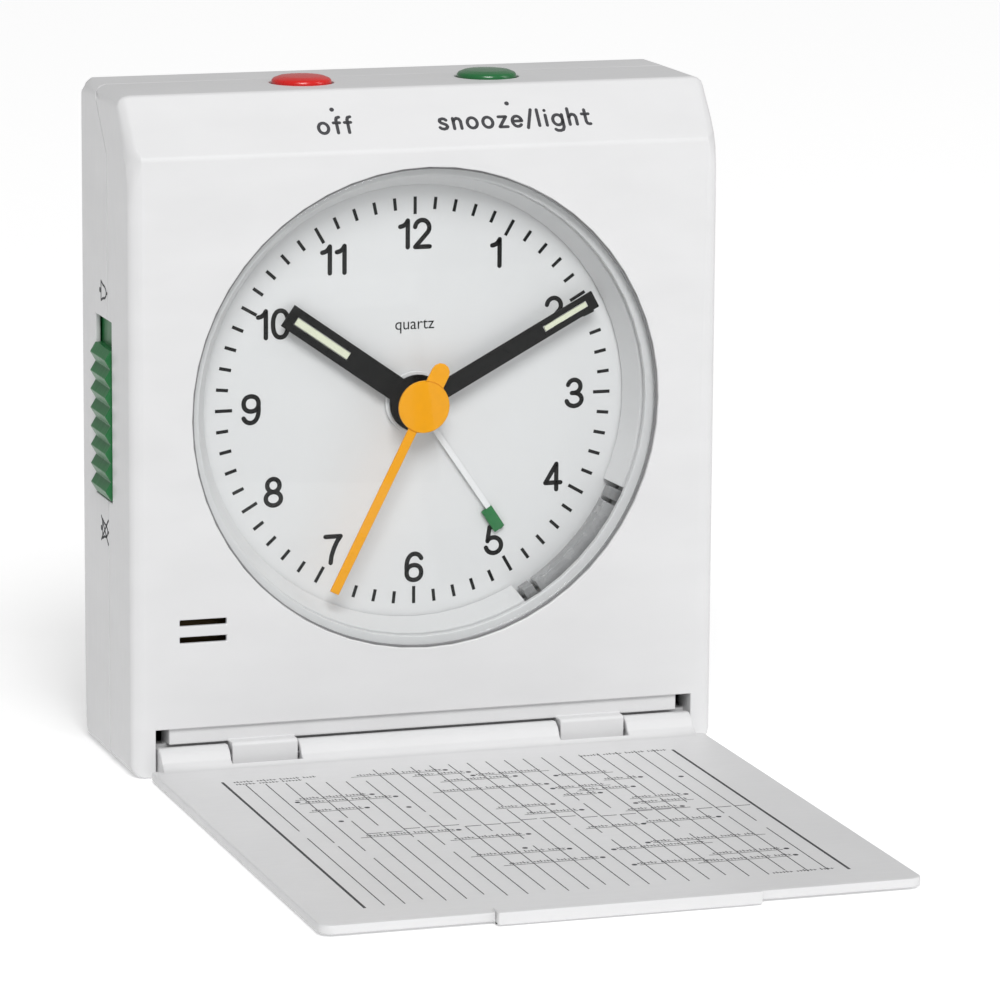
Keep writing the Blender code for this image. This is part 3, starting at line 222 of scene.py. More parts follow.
def shader_of(material):
    return material.node_tree.nodes["Principled BSDF"]


def speckle(material, grain, detail=2.0, stretch=(1.0, 1.0, 1.0)):
    """A noise over the surface whose features are about as large as the grain."""
    nodes, links = material.node_tree.nodes, material.node_tree.links
    where = nodes.new("ShaderNodeTexCoord")
    mapping = nodes.new("ShaderNodeMapping")
    mapping.inputs["Scale"].default_value = stretch
    noise = nodes.new("ShaderNodeTexNoise")
    noise.inputs["Scale"].default_value = 1.0 / grain
    noise.inputs["Detail"].default_value = detail
    links.new(where.outputs["Object"], mapping.inputs["Vector"])
    links.new(mapping.outputs["Vector"], noise.inputs["Vector"])
    return noise.outputs["Fac"]


def tint(material, pattern, dark, light):
    """Colour that varies between two tones with a pattern."""
    nodes, links = material.node_tree.nodes, material.node_tree.links
    ramp = nodes.new("ShaderNodeValToRGB")
    ramp.color_ramp.elements[0].position = 0.3
    ramp.color_ramp.elements[1].position = 0.7
    ramp.color_ramp.elements[0].color = (*dark, 1.0)
    ramp.color_ramp.elements[1].color = (*light, 1.0)
    links.new(pattern, ramp.inputs["Fac"])
    links.new(ramp.outputs["Color"], shader_of(material).inputs["Base Color"])


def polish(material, pattern, smooth, rough):
    """Roughness that varies between two values with a pattern."""
    nodes, links = material.node_tree.nodes, material.node_tree.links
    span = nodes.new("ShaderNodeMapRange")
    span.inputs["From Min"].default_value = 0.3
    span.inputs["From Max"].default_value = 0.7
    span.inputs["To Min"].default_value = smooth
    span.inputs["To Max"].default_value = rough
    links.new(pattern, span.inputs["Value"])
    links.new(span.outputs["Result"], shader_of(material).inputs["Roughness"])


def emboss(material, pattern, depth, strength=1.0):
    """Fine relief from a pattern."""
    nodes, links = material.node_tree.nodes, material.node_tree.links
    bump = nodes.new("ShaderNodeBump")
    bump.inputs["Strength"].default_value = strength
    bump.inputs["Distance"].default_value = depth
    links.new(pattern, bump.inputs["Height"])
    links.new(bump.outputs["Normal"], shader_of(material).inputs["Normal"])


def scaled(colour, factor):
    return tuple(min(1.0, c * factor) for c in colour)


def moulded(name, colour, roughness, grain=0.22 * MM, depth=0.004 * MM, coat=0.0, spread=0.02):
    """Moulded plastic: a fine mould grain, faint flow marks and uneven polish."""
    material = even_finish(name, colour, roughness, coat=coat)
    flow = speckle(material, 14 * MM, 3.0, (1.0, 1.0, 2.5))
    tint(material, flow, scaled(colour, 1 - spread), scaled(colour, 1 + spread))
    scuffs = speckle(material, 3.0 * MM, 6.0, (1.0, 6.0, 1.0))
    polish(material, scuffs, roughness - 0.05, roughness + 0.06)
    emboss(material, speckle(material, grain, 2.0), depth)
    return material


def painted(name, colour, roughness, spread=0.06, specular=0.5):
    """Ink or paint: slightly uneven cover and a fine orange peel."""
    material = even_finish(name, colour, roughness, specular=specular)
    cover = speckle(material, 0.5 * MM, 4.0)
    tint(material, cover, scaled(colour, 1 - spread), scaled(colour, 1 + spread))
    polish(material, cover, roughness - 0.06, roughness + 0.06)
    emboss(material, speckle(material, 0.12 * MM, 2.0), 0.0015 * MM)
    return material


def drawn_metal(name, colour, roughness, stretch=(1.0, 14.0, 14.0)):
    """Metal with fine lines from drawing or rolling."""
    material = even_finish(name, colour, roughness, metallic=1.0)
    lines = speckle(material, 2.0 * MM, 4.0, stretch)
    tint(material, lines, scaled(colour, 0.88), scaled(colour, 1.06))
    polish(material, lines, roughness - 0.08, roughness + 0.12)
    emboss(material, lines, 0.003 * MM)
    return material


def wound_wire(name, colour, pitch):
    """Enamelled wire, wound side by side."""
    material = even_finish(name, colour, 0.3, metallic=1.0)
    nodes, links = material.node_tree.nodes, material.node_tree.links
    where = nodes.new("ShaderNodeTexCoord")
    wave = nodes.new("ShaderNodeTexWave")
    wave.inputs["Scale"].default_value = 0.32 / pitch
    links.new(where.outputs["Object"], wave.inputs["Vector"])
    tint(material, wave.outputs["Fac"], scaled(colour, 0.45), scaled(colour, 1.1))
    emboss(material, wave.outputs["Fac"], 0.03 * MM)
    return material


def clear_pane(name):
    """Clear polished plastic: it lets everything through and mirrors by its angle."""
    material = bpy.data.materials.new(name)
    material.use_nodes = True
    nodes, links = material.node_tree.nodes, material.node_tree.links
    nodes.remove(nodes["Principled BSDF"])
    through = nodes.new("ShaderNodeBsdfTransparent")
    through.inputs["Color"].default_value = (0.975, 0.98, 0.98, 1.0)
    mirror = nodes.new("ShaderNodeBsdfGlossy")
    mirror.inputs["Color"].default_value = (1.0, 1.0, 1.0, 1.0)
    angle = nodes.new("ShaderNodeLayerWeight")
    angle.inputs["Blend"].default_value = 0.5
    steep = nodes.new("ShaderNodeMath")
    steep.operation = "POWER"
    steep.inputs[1].default_value = 5.0
    share = nodes.new("ShaderNodeMath")
    share.operation = "MULTIPLY_ADD"
    share.inputs[1].default_value = 0.985
    share.inputs[2].default_value = 0.015
    links.new(angle.outputs["Facing"], steep.inputs[0])
    links.new(steep.outputs["Value"], share.inputs[0])
    both = nodes.new("ShaderNodeMixShader")
    links.new(share.outputs["Value"], both.inputs[0])
    links.new(through.outputs["BSDF"], both.inputs[1])
    links.new(mirror.outputs["BSDF"], both.inputs[2])
    links.new(both.outputs["Shader"], nodes["Material Output"].inputs["Surface"])
    where = nodes.new("ShaderNodeTexCoord")
    haze = nodes.new("ShaderNodeTexNoise")
    haze.inputs["Scale"].default_value = 1.0 / (6 * MM)
    haze.inputs["Detail"].default_value = 5.0
    span = nodes.new("ShaderNodeMapRange")
    span.inputs["To Min"].default_value = 0.01
    span.inputs["To Max"].default_value = 0.05
    links.new(where.outputs["Object"], haze.inputs["Vector"])
    links.new(haze.outputs["Fac"], span.inputs["Value"])
    links.new(span.outputs["Result"], mirror.inputs["Roughness"])
    return material


def light_pipe(name, colour):
    """Milky light guide: softly banded along its length."""
    material = even_finish(name, colour, 0.25, coat=0.3)
    bands = speckle(material, 2.2 * MM, 2.0)
    tint(material, bands, scaled(colour, 0.9), scaled(colour, 1.12))
    polish(material, bands, 0.18, 0.32)
    emboss(material, speckle(material, 0.4 * MM), 0.01 * MM)
    return material


FINISHES = {}


def finish(name):
    """The named finish, made the first time it is asked for."""
    if name not in FINISHES:
        colours = bpy.context.scene.clock_colours
        makers = {
            "white_plastic": lambda n: moulded(n, colours.case, 0.42),
            "dial_paint": lambda n: painted(n, colours.dial, 0.55, 0.01),
            "black_ink": lambda n: painted(n, colours.ink, 0.6, specular=0.12),
            "label_ink": lambda n: painted(n, colours.label, 0.6, specular=0.2),
            "black_hand": lambda n: painted(n, colours.hands, 0.5, specular=0.1),
            "glow_paint": lambda n: painted(n, colours.glow, 0.75, 0.04),
            "white_hand": lambda n: painted(n, (0.80, 0.80, 0.81), 0.4, 0.02),
            "green_tip": lambda n: painted(n, scaled(colours.green, 1.25), 0.4),
            "yellow_hand": lambda n: painted(n, colours.second, 0.45, 0.03, 0.2),
            "red_gloss": lambda n: moulded(n, colours.red, 0.28, coat=0.2, spread=0.04),
            "green_gloss": lambda n: moulded(n, colours.green, 0.26, coat=0.3, spread=0.06),
            "green_matt": lambda n: moulded(n, colours.green, 0.38, spread=0.08),
            "clear_plastic": clear_pane,
            "light_guide": lambda n: light_pipe(n, colours.guide),
            # painted shade: grey of the ring in the lens gap, standing for the shadow there
            "painted_gap_shade": lambda n: moulded(n, (0.20, 0.20, 0.205), 0.55, spread=0.06),
            "lamp_resin": lambda n: light_pipe(n, scaled(colours.guide, 0.75)),
            "natural_plastic": lambda n: moulded(n, colours.works, 0.45, spread=0.03),
            "black_plastic": lambda n: moulded(n, (0.015, 0.015, 0.016), 0.4, spread=0.1),
            "steel": lambda n: drawn_metal(n, (0.56, 0.56, 0.58), 0.3),
            "brass": lambda n: drawn_metal(n, (0.10, 0.07, 0.035), 0.5),
            "magnet": lambda n: drawn_metal(n, (0.10, 0.10, 0.11), 0.5),
            "copper_winding": lambda n: wound_wire(n, (0.62, 0.24, 0.11), 0.12 * MM),
            "board": lambda n: moulded(n, (0.03, 0.16, 0.07), 0.45, spread=0.15),
            "cell_jacket": lambda n: painted(n, (0.06, 0.065, 0.07), 0.3, 0.1),
        }
        FINISHES[name] = makers[name](name)
    return FINISHES[name]


# ---------------------------------------------------------------- making pieces


def settle(name, bm, body, finish_name, smooth_angle=40.0):
    """Turn a bmesh into a finished piece that rides on a body."""
    mesh = bpy.data.meshes.new(name)
    bm.to_mesh(mesh)
    bm.free()
    piece = bpy.data.objects.new(name, mesh)
    bpy.context.scene.collection.objects.link(piece)
    mesh.materials.clear()
    mesh.materials.append(finish(finish_name))
    mesh.shade_smooth()
    mesh.set_sharp_from_angle(angle=math.radians(smooth_angle))
    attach(piece, body)
    return piece


def repaint(node, finish_name):
    """Give a node that keeps its own shape its finish."""
    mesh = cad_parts[node].data
    mesh.materials.clear()
    mesh.materials.append(finish(finish_name))


def refined(node, name, body, finish_name, slot, radius, segments=2, angle=30.0):
    """A joined copy of a CAD node with its sharp edges rounded, shown in the node's place."""
    bm = bmesh.new()
    bm.from_mesh(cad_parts[node].data)
    bmesh.ops.remove_doubles(bm, verts=bm.verts, dist=0.002 * MM)
    bmesh.ops.dissolve_limit(bm, angle_limit=math.radians(0.5), verts=bm.verts, edges=bm.edges)
    wide = [face for face in bm.faces if len(face.verts) > 4]
    bmesh.ops.triangulate(bm, faces=wide, quad_method="BEAUTY", ngon_method="BEAUTY")
    hard = [e for e in bm.edges
            if len(e.link_faces) == 2 and e.calc_face_angle() > math.radians(angle)]
    if radius > 0:
        bmesh.ops.bevel(bm, geom=hard, offset=radius, offset_type="OFFSET", segments=segments,
                        profile=0.5, affect="EDGES", clamp_overlap=False, material=-1)
    piece = settle(name, bm, body, finish_name)
    weigh = piece.modifiers.new("even shading", "WEIGHTED_NORMAL")
    weigh.keep_sharp = True
    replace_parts(piece, node)
    return piece


def add_bar(bm, start, end, width, thickness, matrix):
    """A flat printed bar between two points of a sheet."""
    start, end = Vector((*start, 0.0)), Vector((*end, 0.0))
    along = end - start
    turn = Matrix.Rotation(math.atan2(along.y, along.x), 4, "Z")
    size = Matrix.Diagonal((along.length, width, thickness, 1.0))
    bmesh.ops.create_cube(bm, size=1.0,
                          matrix=matrix @ Matrix.Translation((start + end) / 2) @ turn @ size)


def add_dot(bm, centre, radius, thickness, matrix, segments=16):
    bmesh.ops.create_cone(bm, cap_ends=True, segments=segments, radius1=radius, radius2=radius,
                          depth=thickness, matrix=matrix @ Matrix.Translation((*centre, 0.0)))


def add_stroke(bm, points, width, thickness, matrix):
    """A printed line through points, round at its ends and joints."""
    for start, end in zip(points, points[1:]):
        add_bar(bm, start, end, width, thickness, matrix)
    for point in points:
        add_dot(bm, point, width / 2, thickness * 0.98, matrix, 10)


def add_words(bm, words, letter, letter_height, centre, matrix, squeeze=1.0, weight=0.0):
    """Flat lettering centred on a place. Its scale is set so that one letter has a height."""
    def mesh_of(text):
        curve = bpy.data.curves.new("lettering", "FONT")
        curve.body = text
        curve.resolution_u = 5
        curve.offset = weight
        holder = bpy.data.objects.new("lettering", curve)
        bpy.context.scene.collection.objects.link(holder)
        graph = bpy.context.evaluated_depsgraph_get()
        mesh = bpy.data.meshes.new_from_object(holder.evaluated_get(graph))
        bpy.data.objects.remove(holder, do_unlink=True)
        return mesh

    def span(mesh, axis):
        values = [v.co[axis] for v in mesh.vertices]
        return min(values), max(values)

    low, high = span(mesh_of(letter), 1)
    scale = letter_height / (high - low)
    mesh = mesh_of(words)
    left, right = span(mesh, 0)
    size = Matrix.Diagonal((scale * squeeze, scale, 1.0, 1.0))
    shift = Matrix.Translation((-(left + right) / 2, -(low + high) / 2, 0.0))
    mesh.transform(matrix @ Matrix.Translation((*centre, 0.0)) @ size @ shift)
    start = len(bm.faces)
    bm.from_mesh(mesh)
    bm.faces.ensure_lookup_table()
    return bm.faces[start:]


def oval(centre, radii, start, end, steps, power=2.0):
    """Points round an oval, with angles in degrees. A higher power makes it squarer."""
    points = []
    for i in range(steps + 1):
        angle = math.radians(start + (end - start) * i / steps)
        c, s = math.cos(angle), math.sin(angle)
        points.append((centre[0] + radii[0] * math.copysign(abs(c) ** (2 / power), c),
                       centre[1] + radii[1] * math.copysign(abs(s) ** (2 / power), s)))
    return points


def half_turned(strokes):
    return [[(0.6 - x, 1.0 - y) for x, y in stroke] for stroke in strokes]


# Middle lines of the digits' strokes, in digit heights
SIX = [oval((0.305, 0.31), (0.235, 0.25), 0, 360, 20, 2.2),
       oval((0.33, 0.5), (0.26, 0.44), 38, 190, 12, 2.2)]
DIGITS = {
    "0": [oval((0.3, 0.5), (0.235, 0.44), 0, 360, 28, 2.3)],
    "1": [[(0.31, 0.06), (0.31, 0.94), (0.25, 0.83), (0.16, 0.765), (0.07, 0.745)]],
    "2": [oval((0.295, 0.685), (0.225, 0.255), 172, -32, 14) + [(0.075, 0.06), (0.535, 0.06)]],
    "3": [oval((0.285, 0.72), (0.205, 0.22), 165, -90, 14) + [(0.21, 0.5)],
          [(0.285, 0.5)] + oval((0.285, 0.28), (0.245, 0.22), 90, -168, 14)],
    "4": [[(0.42, 0.06), (0.42, 0.92), (0.065, 0.29), (0.555, 0.29)]],
    "5": [[(0.5, 0.94), (0.155, 0.94), (0.095, 0.47)]
          + oval((0.285, 0.325), (0.25, 0.265), 140, -165, 16)],
    "6": SIX,
    "7": [[(0.06, 0.94), (0.54, 0.94), (0.42, 0.76), (0.32, 0.52), (0.25, 0.28), (0.225, 0.06)]],
    "8": [oval((0.3, 0.725), (0.195, 0.215), 0, 360, 20),
          oval((0.3, 0.285), (0.24, 0.225), 0, 360, 20)],
    "9": half_turned(SIX),
}
DIGIT_SPANS = {"1": (0.01, 0.37)}
PLAIN_SPAN = (0.0, 0.6)

# Middle lines of the letters' strokes and the room each letter takes, in letter heights
ROUND = oval((0.42, 0.5), (0.35, 0.42), 0, 360, 20)
ARCH = [(0.13, 0.6), (0.2, 0.8), (0.38, 0.92), (0.56, 0.86), (0.65, 0.68), (0.65, 0.08)]
LETTERS = {
    "o": (0.99, [ROUND]),
    "f": (0.66, [[(0.28, 0.08), (0.28, 1.12), (0.34, 1.3), (0.52, 1.35)],
                 [(0.06, 0.9), (0.5, 0.9)]]),
    "s": (0.88, [[(0.64, 0.79), (0.54, 0.89), (0.38, 0.92), (0.2, 0.86), (0.16, 0.71),
                  (0.25, 0.59), (0.42, 0.51), (0.6, 0.42), (0.67, 0.27), (0.58, 0.13),
                  (0.4, 0.08), (0.22, 0.12), (0.12, 0.22)]]),
    "n": (0.92, [[(0.13, 0.08), (0.13, 0.92)], ARCH]),
    "z": (0.86, [[(0.12, 0.91), (0.66, 0.91), (0.1, 0.09), (0.68, 0.09)]]),
    "e": (0.96, [[(0.1, 0.52), (0.75, 0.52)]
                 + oval((0.42, 0.5), (0.34, 0.42), 5, 318, 18)]),
    "/": (0.62, [[(0.04, -0.06), (0.46, 1.4)]]),
    "l": (0.42, [[(0.14, 0.08), (0.14, 1.38)]]),
    "i": (0.42, [[(0.14, 0.08), (0.14, 0.92)], [(0.14, 1.28), (0.14, 1.3)]]),
    "g": (0.99, [ROUND, [(0.77, 0.92), (0.77, -0.08), (0.68, -0.3), (0.48, -0.38),
                         (0.26, -0.36), (0.14, -0.26)]]),
    "h": (0.92, [[(0.13, 0.08), (0.13, 1.38)], ARCH]),
    "t": (0.7, [[(0.29, 1.24), (0.29, 0.3), (0.35, 0.13), (0.47, 0.08), (0.58, 0.09)],
                [(0.06, 0.9), (0.54, 0.9)]]),
}


def add_number(bm, number, height, stretch, weight, centre, thickness, matrix):
    """Plain numerals drawn with strokes, centred on a place."""
    spans = [DIGIT_SPANS.get(digit, PLAIN_SPAN) for digit in number]
    gap = 0.1
    total = sum(high - low for low, high in spans) + gap * (len(number) - 1)
    cursor = -total / 2
    for digit, (low, high) in zip(number, spans):
        for stroke in DIGITS[digit]:
            points = [(centre[0] + (cursor - low + x) * height * stretch,
                       centre[1] + (y - 0.5) * height) for x, y in stroke]
            add_stroke(bm, points, weight, thickness, matrix)
        cursor += high - low + gap


def add_label(bm, words, height, weight, centre, thickness, matrix):
    """Rounded lettering drawn with strokes, centred on a place."""
    gap = 0.13
    total = sum(LETTERS[letter][0] + gap for letter in words)
    cursor = -total / 2
    for letter in words:
        advance, strokes = LETTERS[letter]
        for stroke in strokes:
            points = [(centre[0] + (cursor + x) * height, centre[1] + (y - 0.5) * height)
                      for x, y in stroke]
            add_stroke(bm, points, weight, thickness, matrix)
        cursor += advance + gap


def thicken(bm, faces, thickness, matrix):
    """Give flat lettering on a sheet a thickness, outwards."""
    rise = matrix.to_3x3() @ Vector((0.0, 0.0, thickness))
    bmesh.ops.remove_doubles(bm, verts=list({v for f in faces for v in f.verts}), dist=1e-6)
    faces = [f for f in faces if f.is_valid]
    grown = bmesh.ops.extrude_face_region(bm, geom=faces)
    verts = [g for g in grown["geom"] if isinstance(g, bmesh.types.BMVert)]
    bmesh.ops.translate(bm, vec=rise, verts=verts)


def sheet_on(origin, right, up):
    """A matrix from a flat sheet (right, up, out) to the place it is printed on."""
    right, up = Vector(right).normalized(), Vector(up).normalized()
    turn = Matrix((right, up, right.cross(up))).transposed().to_4x4()
    return Matrix.Translation(origin) @ turn


def dial_sheet():
    low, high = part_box("dial_plate")
    centre = (low + high) / 2
    return sheet_on((centre.x, low.y, centre.z), (1, 0, 0), (0, 0, 1))


def facet_sheet():
    sizes = bpy.context.scene.clock_sizes
    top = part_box("front_housing")[1].z
    slope = Vector((0, sizes.facet_depth, sizes.facet_height))
    return sheet_on((0, case_front(), top - sizes.facet_height), (1, 0, 0), slope)


def case_front():
    """The case's front face, which the two hinge knuckles stand in front of."""
    return -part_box("rear_housing")[1].y


def lathe(bm, profile, centre, steps):
    """Spin a (radius, height) profile about an upright axis."""
    verts = [bm.verts.new((centre[0] + r, centre[1], h)) for r, h in profile]
    edges = [bm.edges.new(pair) for pair in zip(verts, verts[1:])]
    bmesh.ops.spin(bm, geom=verts + edges, cent=(centre[0], centre[1], 0.0), axis=(0, 0, 1),
                   angle=math.tau, steps=steps, use_merge=True)
    bmesh.ops.remove_doubles(bm, verts=bm.verts, dist=1e-6)
    bmesh.ops.recalc_face_normals(bm, faces=bm.faces)


def ring_arc(radius, start, end, steps):
    return [(radius * math.cos(start + (end - start) * i / steps),
             radius * math.sin(start + (end - start) * i / steps)) for i in range(steps + 1)]


# ---------------------------------------------------------------- operators


class CaseShells(bpy.types.Operator):
    """Case front and back with rounded edges"""

    bl_idname = "clock.case_shells"
    bl_label = "Case"

    def execute(self, context):
        radius = context.scene.clock_sizes.edge_break
        refined("front_housing", "case_front", "case", "white_plastic", "white_plastic", radius)
        refined("rear_housing", "case_back", "case", "white_plastic", "white_plastic", radius)
        for i in range(1, 5):
            refined(f"case_screw_{i}", f"cross_screw_{i}", "case", "steel", "steel", 0.08 * MM)
        return {"FINISHED"}


class CoverPanel(bpy.types.Operator):
    """Fold-down cover and its hinge pins"""

    bl_idname = "clock.cover_panel"
    bl_label = "Cover"

    def execute(self, context):
        refined("cover", "cover_panel", "cover", "white_plastic", "white_plastic", 0.18 * MM)
        for node in ("hinge_pin_left", "hinge_pin_right"):
            refined(node, f"{node}_rod", "case", "steel", "steel", 0.05 * MM)
        return {"FINISHED"}


class CoverChart(bpy.types.Operator):
    """Printed chart on the cover's inner face"""

    bl_idname = "clock.cover_chart"
    bl_label = "Cover chart"

    border, rule, fine = 0.34 * MM, 0.13 * MM, 0.1 * MM
    dot = 0.34 * MM
    date_line = 0.17 * MM
    # column and row of a dot, columns its leader crosses (to the left if negative)
    marks = (
        (2, 0.80, 0), (6, 0.82, -4), (7, 0.79, -5), (5, 0.72, -3), (7, 0.70, 0), (3, 0.63, 0),
        (8, 0.50, -5), (11, 0.43, -4), (10, 0.33, 0), (12, 0.30, -5), (13, 0.22, -5),
        (11, 0.97, -5), (12, 0.94, -3), (12, 0.91, 4), (14, 0.88, -4), (15, 0.80, -6),
        (15, 0.76, 3), (14, 0.64, -3), (15, 0.58, -3), (14, 0.27, 5), (14, 0.15, 4),
        (16, 0.86, 3), (17, 0.70, -2), (19, 0.73, -3), (18, 0.60, 3), (20, 0.55, -3),
        (17, 0.44, -3), (20, 0.80, -2), (21, 0.64, -3), (16, 0.30, 6), (22, 0.78, 0),
        (21, 0.45, -4), (22, 0.18, -4), (22, 0.13, -5),
    )

    def execute(self, context):
        sizes = context.scene.clock_sizes
        ink = 2 * sizes.ink
        matrix = sheet_on((0, 0, sizes.panel_top), (1, 0, 0), (0, 1, 0))
        half, near, far = sizes.chart_half, -sizes.chart_near, -sizes.chart_far
        length, columns = near - far, sizes.chart_lines + 1
        pitch = 2 * half / columns
        bm = bmesh.new()
        for side in (-1, 1):
            add_bar(bm, (side * half, far), (side * half, near), self.border, ink, matrix)
        for i in range(1, columns):
            x = -half + i * pitch
            top = near + (0.8 * MM if i > 7 else -1.5 * MM - 0.4 * MM * i)
            low = far + (0.5 + 1.2 * (i % 3 == 0)) * MM
            middle = near - length * (0.36 + 0.09 * (i % 4))
            gap = (0.8 + 0.9 * (i % 2)) * MM
            add_bar(bm, (x, low), (x, middle - gap), self.rule, ink, matrix)
            add_bar(bm, (x, middle + gap), (x, top), self.rule, ink, matrix)
        level = near - length * 0.47
        edge = -half + 4 * pitch
        for i in range(4, columns):
            rise = 0.5 * MM * (1 - 2 * (i // 3 % 2))
            add_bar(bm, (edge, level + rise), (edge + pitch * 0.82, level + rise),
                    self.date_line, ink, matrix)
            edge += pitch
        for column, row, reach in self.marks:
            x, y = -half + (column + 0.5) * pitch, far + row * length
            add_dot(bm, (x, y), self.dot, ink, matrix, 12)
            if reach:
                step = math.copysign(0.55 * MM, reach)
                add_bar(bm, (x + step, y - 0.3 * MM), (x + reach * pitch, y - 0.3 * MM),
                        self.rule, ink, matrix)
                self.type_line(bm, x + step, x + reach * pitch * 0.92, y + 0.35 * MM, ink, matrix)
        heading = near - 1.1 * MM
        self.type_line(bm, -half + 1.4 * MM, -half + 11.5 * MM, heading + 0.6 * MM, ink, matrix)
        self.type_line(bm, -half + 1.4 * MM, -half + 9.5 * MM, heading - 0.5 * MM, ink, matrix)
        self.type_line(bm, half - 12.0 * MM, half - 1.0 * MM, heading + 1.2 * MM, ink, matrix)
        self.type_line(bm, half - 9.0 * MM, half - 1.5 * MM, far + 0.9 * MM, ink, matrix)
        settle("cover_chart", bm, "cover", "label_ink")
        return {"FINISHED"}

    def type_line(self, bm, start, end, y, ink, matrix):
        """A row of tiny strokes that stands for small type."""
        start, end = sorted((start, end))
        x, i = start, 0
        step, drop, reach, lean = 0.42 * MM, 0.21 * MM, 0.26 * MM, 0.05 * MM
        while x < end:
            tall = (0.42, 0.62, 0.42, 0.5, 0.72)[i % 5] * MM
            if i % 7 != 6:
                add_bar(bm, (x, y - drop), (x, y - drop + tall), self.rule, ink, matrix)
                add_bar(bm, (x, y), (x + reach, y + lean), self.fine, ink, matrix)
            x += step
            i += 1


class DialPrint(bpy.types.Operator):
    """Dial with its strokes and numerals"""

    bl_idname = "clock.dial_print"
    bl_label = "Dial"

    def execute(self, context):
        sizes = context.scene.clock_sizes
        matrix = dial_sheet()
        ink = sizes.ink
        bm = bmesh.new()
        for i in range(60):
            reach = sizes.hour_stroke if i % 5 == 0 else sizes.minute_stroke
            angle = math.tau * i / 60
            ends = [(r * math.sin(angle), r * math.cos(angle))
                    for r in (sizes.minute_track - reach, sizes.minute_track)]
            add_bar(bm, *ends, sizes.stroke_width, 2 * ink, matrix)
        settle("dial_strokes", bm, "case", "black_ink")

        bm = bmesh.new()
        for hour in range(1, 13):
            angle = math.tau * hour / 12
            place = (sizes.numeral_radius * math.sin(angle), sizes.numeral_radius * math.cos(angle))
            add_number(bm, str(hour), sizes.numeral_height, sizes.numeral_stretch,
                       sizes.numeral_weight, place, 2 * ink, matrix)
        settle("dial_numerals", bm, "case", "black_ink", 30.0)

        bm = bmesh.new()
        faces = add_words(bm, "quartz", "x", 0.95 * MM, (0.0, 9.6 * MM), matrix, 0.95)
        thicken(bm, faces, ink, matrix)
        settle("dial_word", bm, "case", "black_ink", 30.0)
        repaint("dial_plate", "dial_paint")
        return {"FINISHED"}


class LensAndBezel(bpy.types.Operator):
    """Lens, sloping ring and light guide"""

    bl_idname = "clock.lens_and_bezel"
    bl_label = "Lens and ring"

    def execute(self, context):
        sizes = context.scene.clock_sizes
        low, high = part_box("lens")
        centre, radius = (low + high) / 2, (high.x - low.x) / 2
        bm = bmesh.new()
        turn = Matrix.Rotation(math.pi / 2, 4, "X")
        bmesh.ops.create_cone(bm, cap_ends=True, segments=160, radius1=radius, radius2=radius,
                              depth=high.y - low.y, matrix=Matrix.Translation(centre) @ turn)
        rims = [e for e in bm.edges if e.calc_face_angle() > math.radians(60)]
        bmesh.ops.bevel(bm, geom=rims, offset=sizes.lens_edge, offset_type="OFFSET", segments=3,
                        profile=0.5, affect="EDGES", clamp_overlap=True, material=-1)
        glass = settle("lens_pane", bm, "case", "clear_plastic", 30.0)
        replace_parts(glass, "lens")
        # a grey ring in the lens gap, painted shade for the gap's shadow line
        self.gasket(centre, radius, low.y)
        refined("bezel_ring", "bezel_slope", "case", "white_plastic", "white_plastic", 0.1 * MM,
                angle=40.0)
        refined("light_guide", "light_guide_bar", "case", "light_guide", "grey_plastic",
                0.1 * MM, angle=40.0)
        for node in ("led_upper", "led_lower"):
            refined(node, f"{node}_lamp", "case", "lamp_resin", "lamp_yellow", 0.1 * MM, angle=40.0)
        return {"FINISHED"}


    def gasket(self, centre, radius, front):
        """A thin grey ring in the gap round the lens, painted shade that stands for the dark shadow
        line in that gap.
        """
        inner, outer = radius + 0.04 * MM, radius + 0.22 * MM
        near, far = front + 0.05 * MM, front + 0.7 * MM
        bm = bmesh.new()
        corners = [bm.verts.new((centre.x + r, y, centre.z))
                   for r, y in ((inner, near), (outer, near), (outer, far), (inner, far))]
        sides = [bm.edges.new((corners[i - 1], corners[i])) for i in range(4)]
        bmesh.ops.spin(bm, geom=corners + sides, cent=(centre.x, 0.0, centre.z), axis=(0, 1, 0),
                       angle=math.tau, steps=160, use_merge=True)
        bmesh.ops.recalc_face_normals(bm, faces=bm.faces)
        settle("lens_gap_shade", bm, "case", "painted_gap_shade", 30.0)


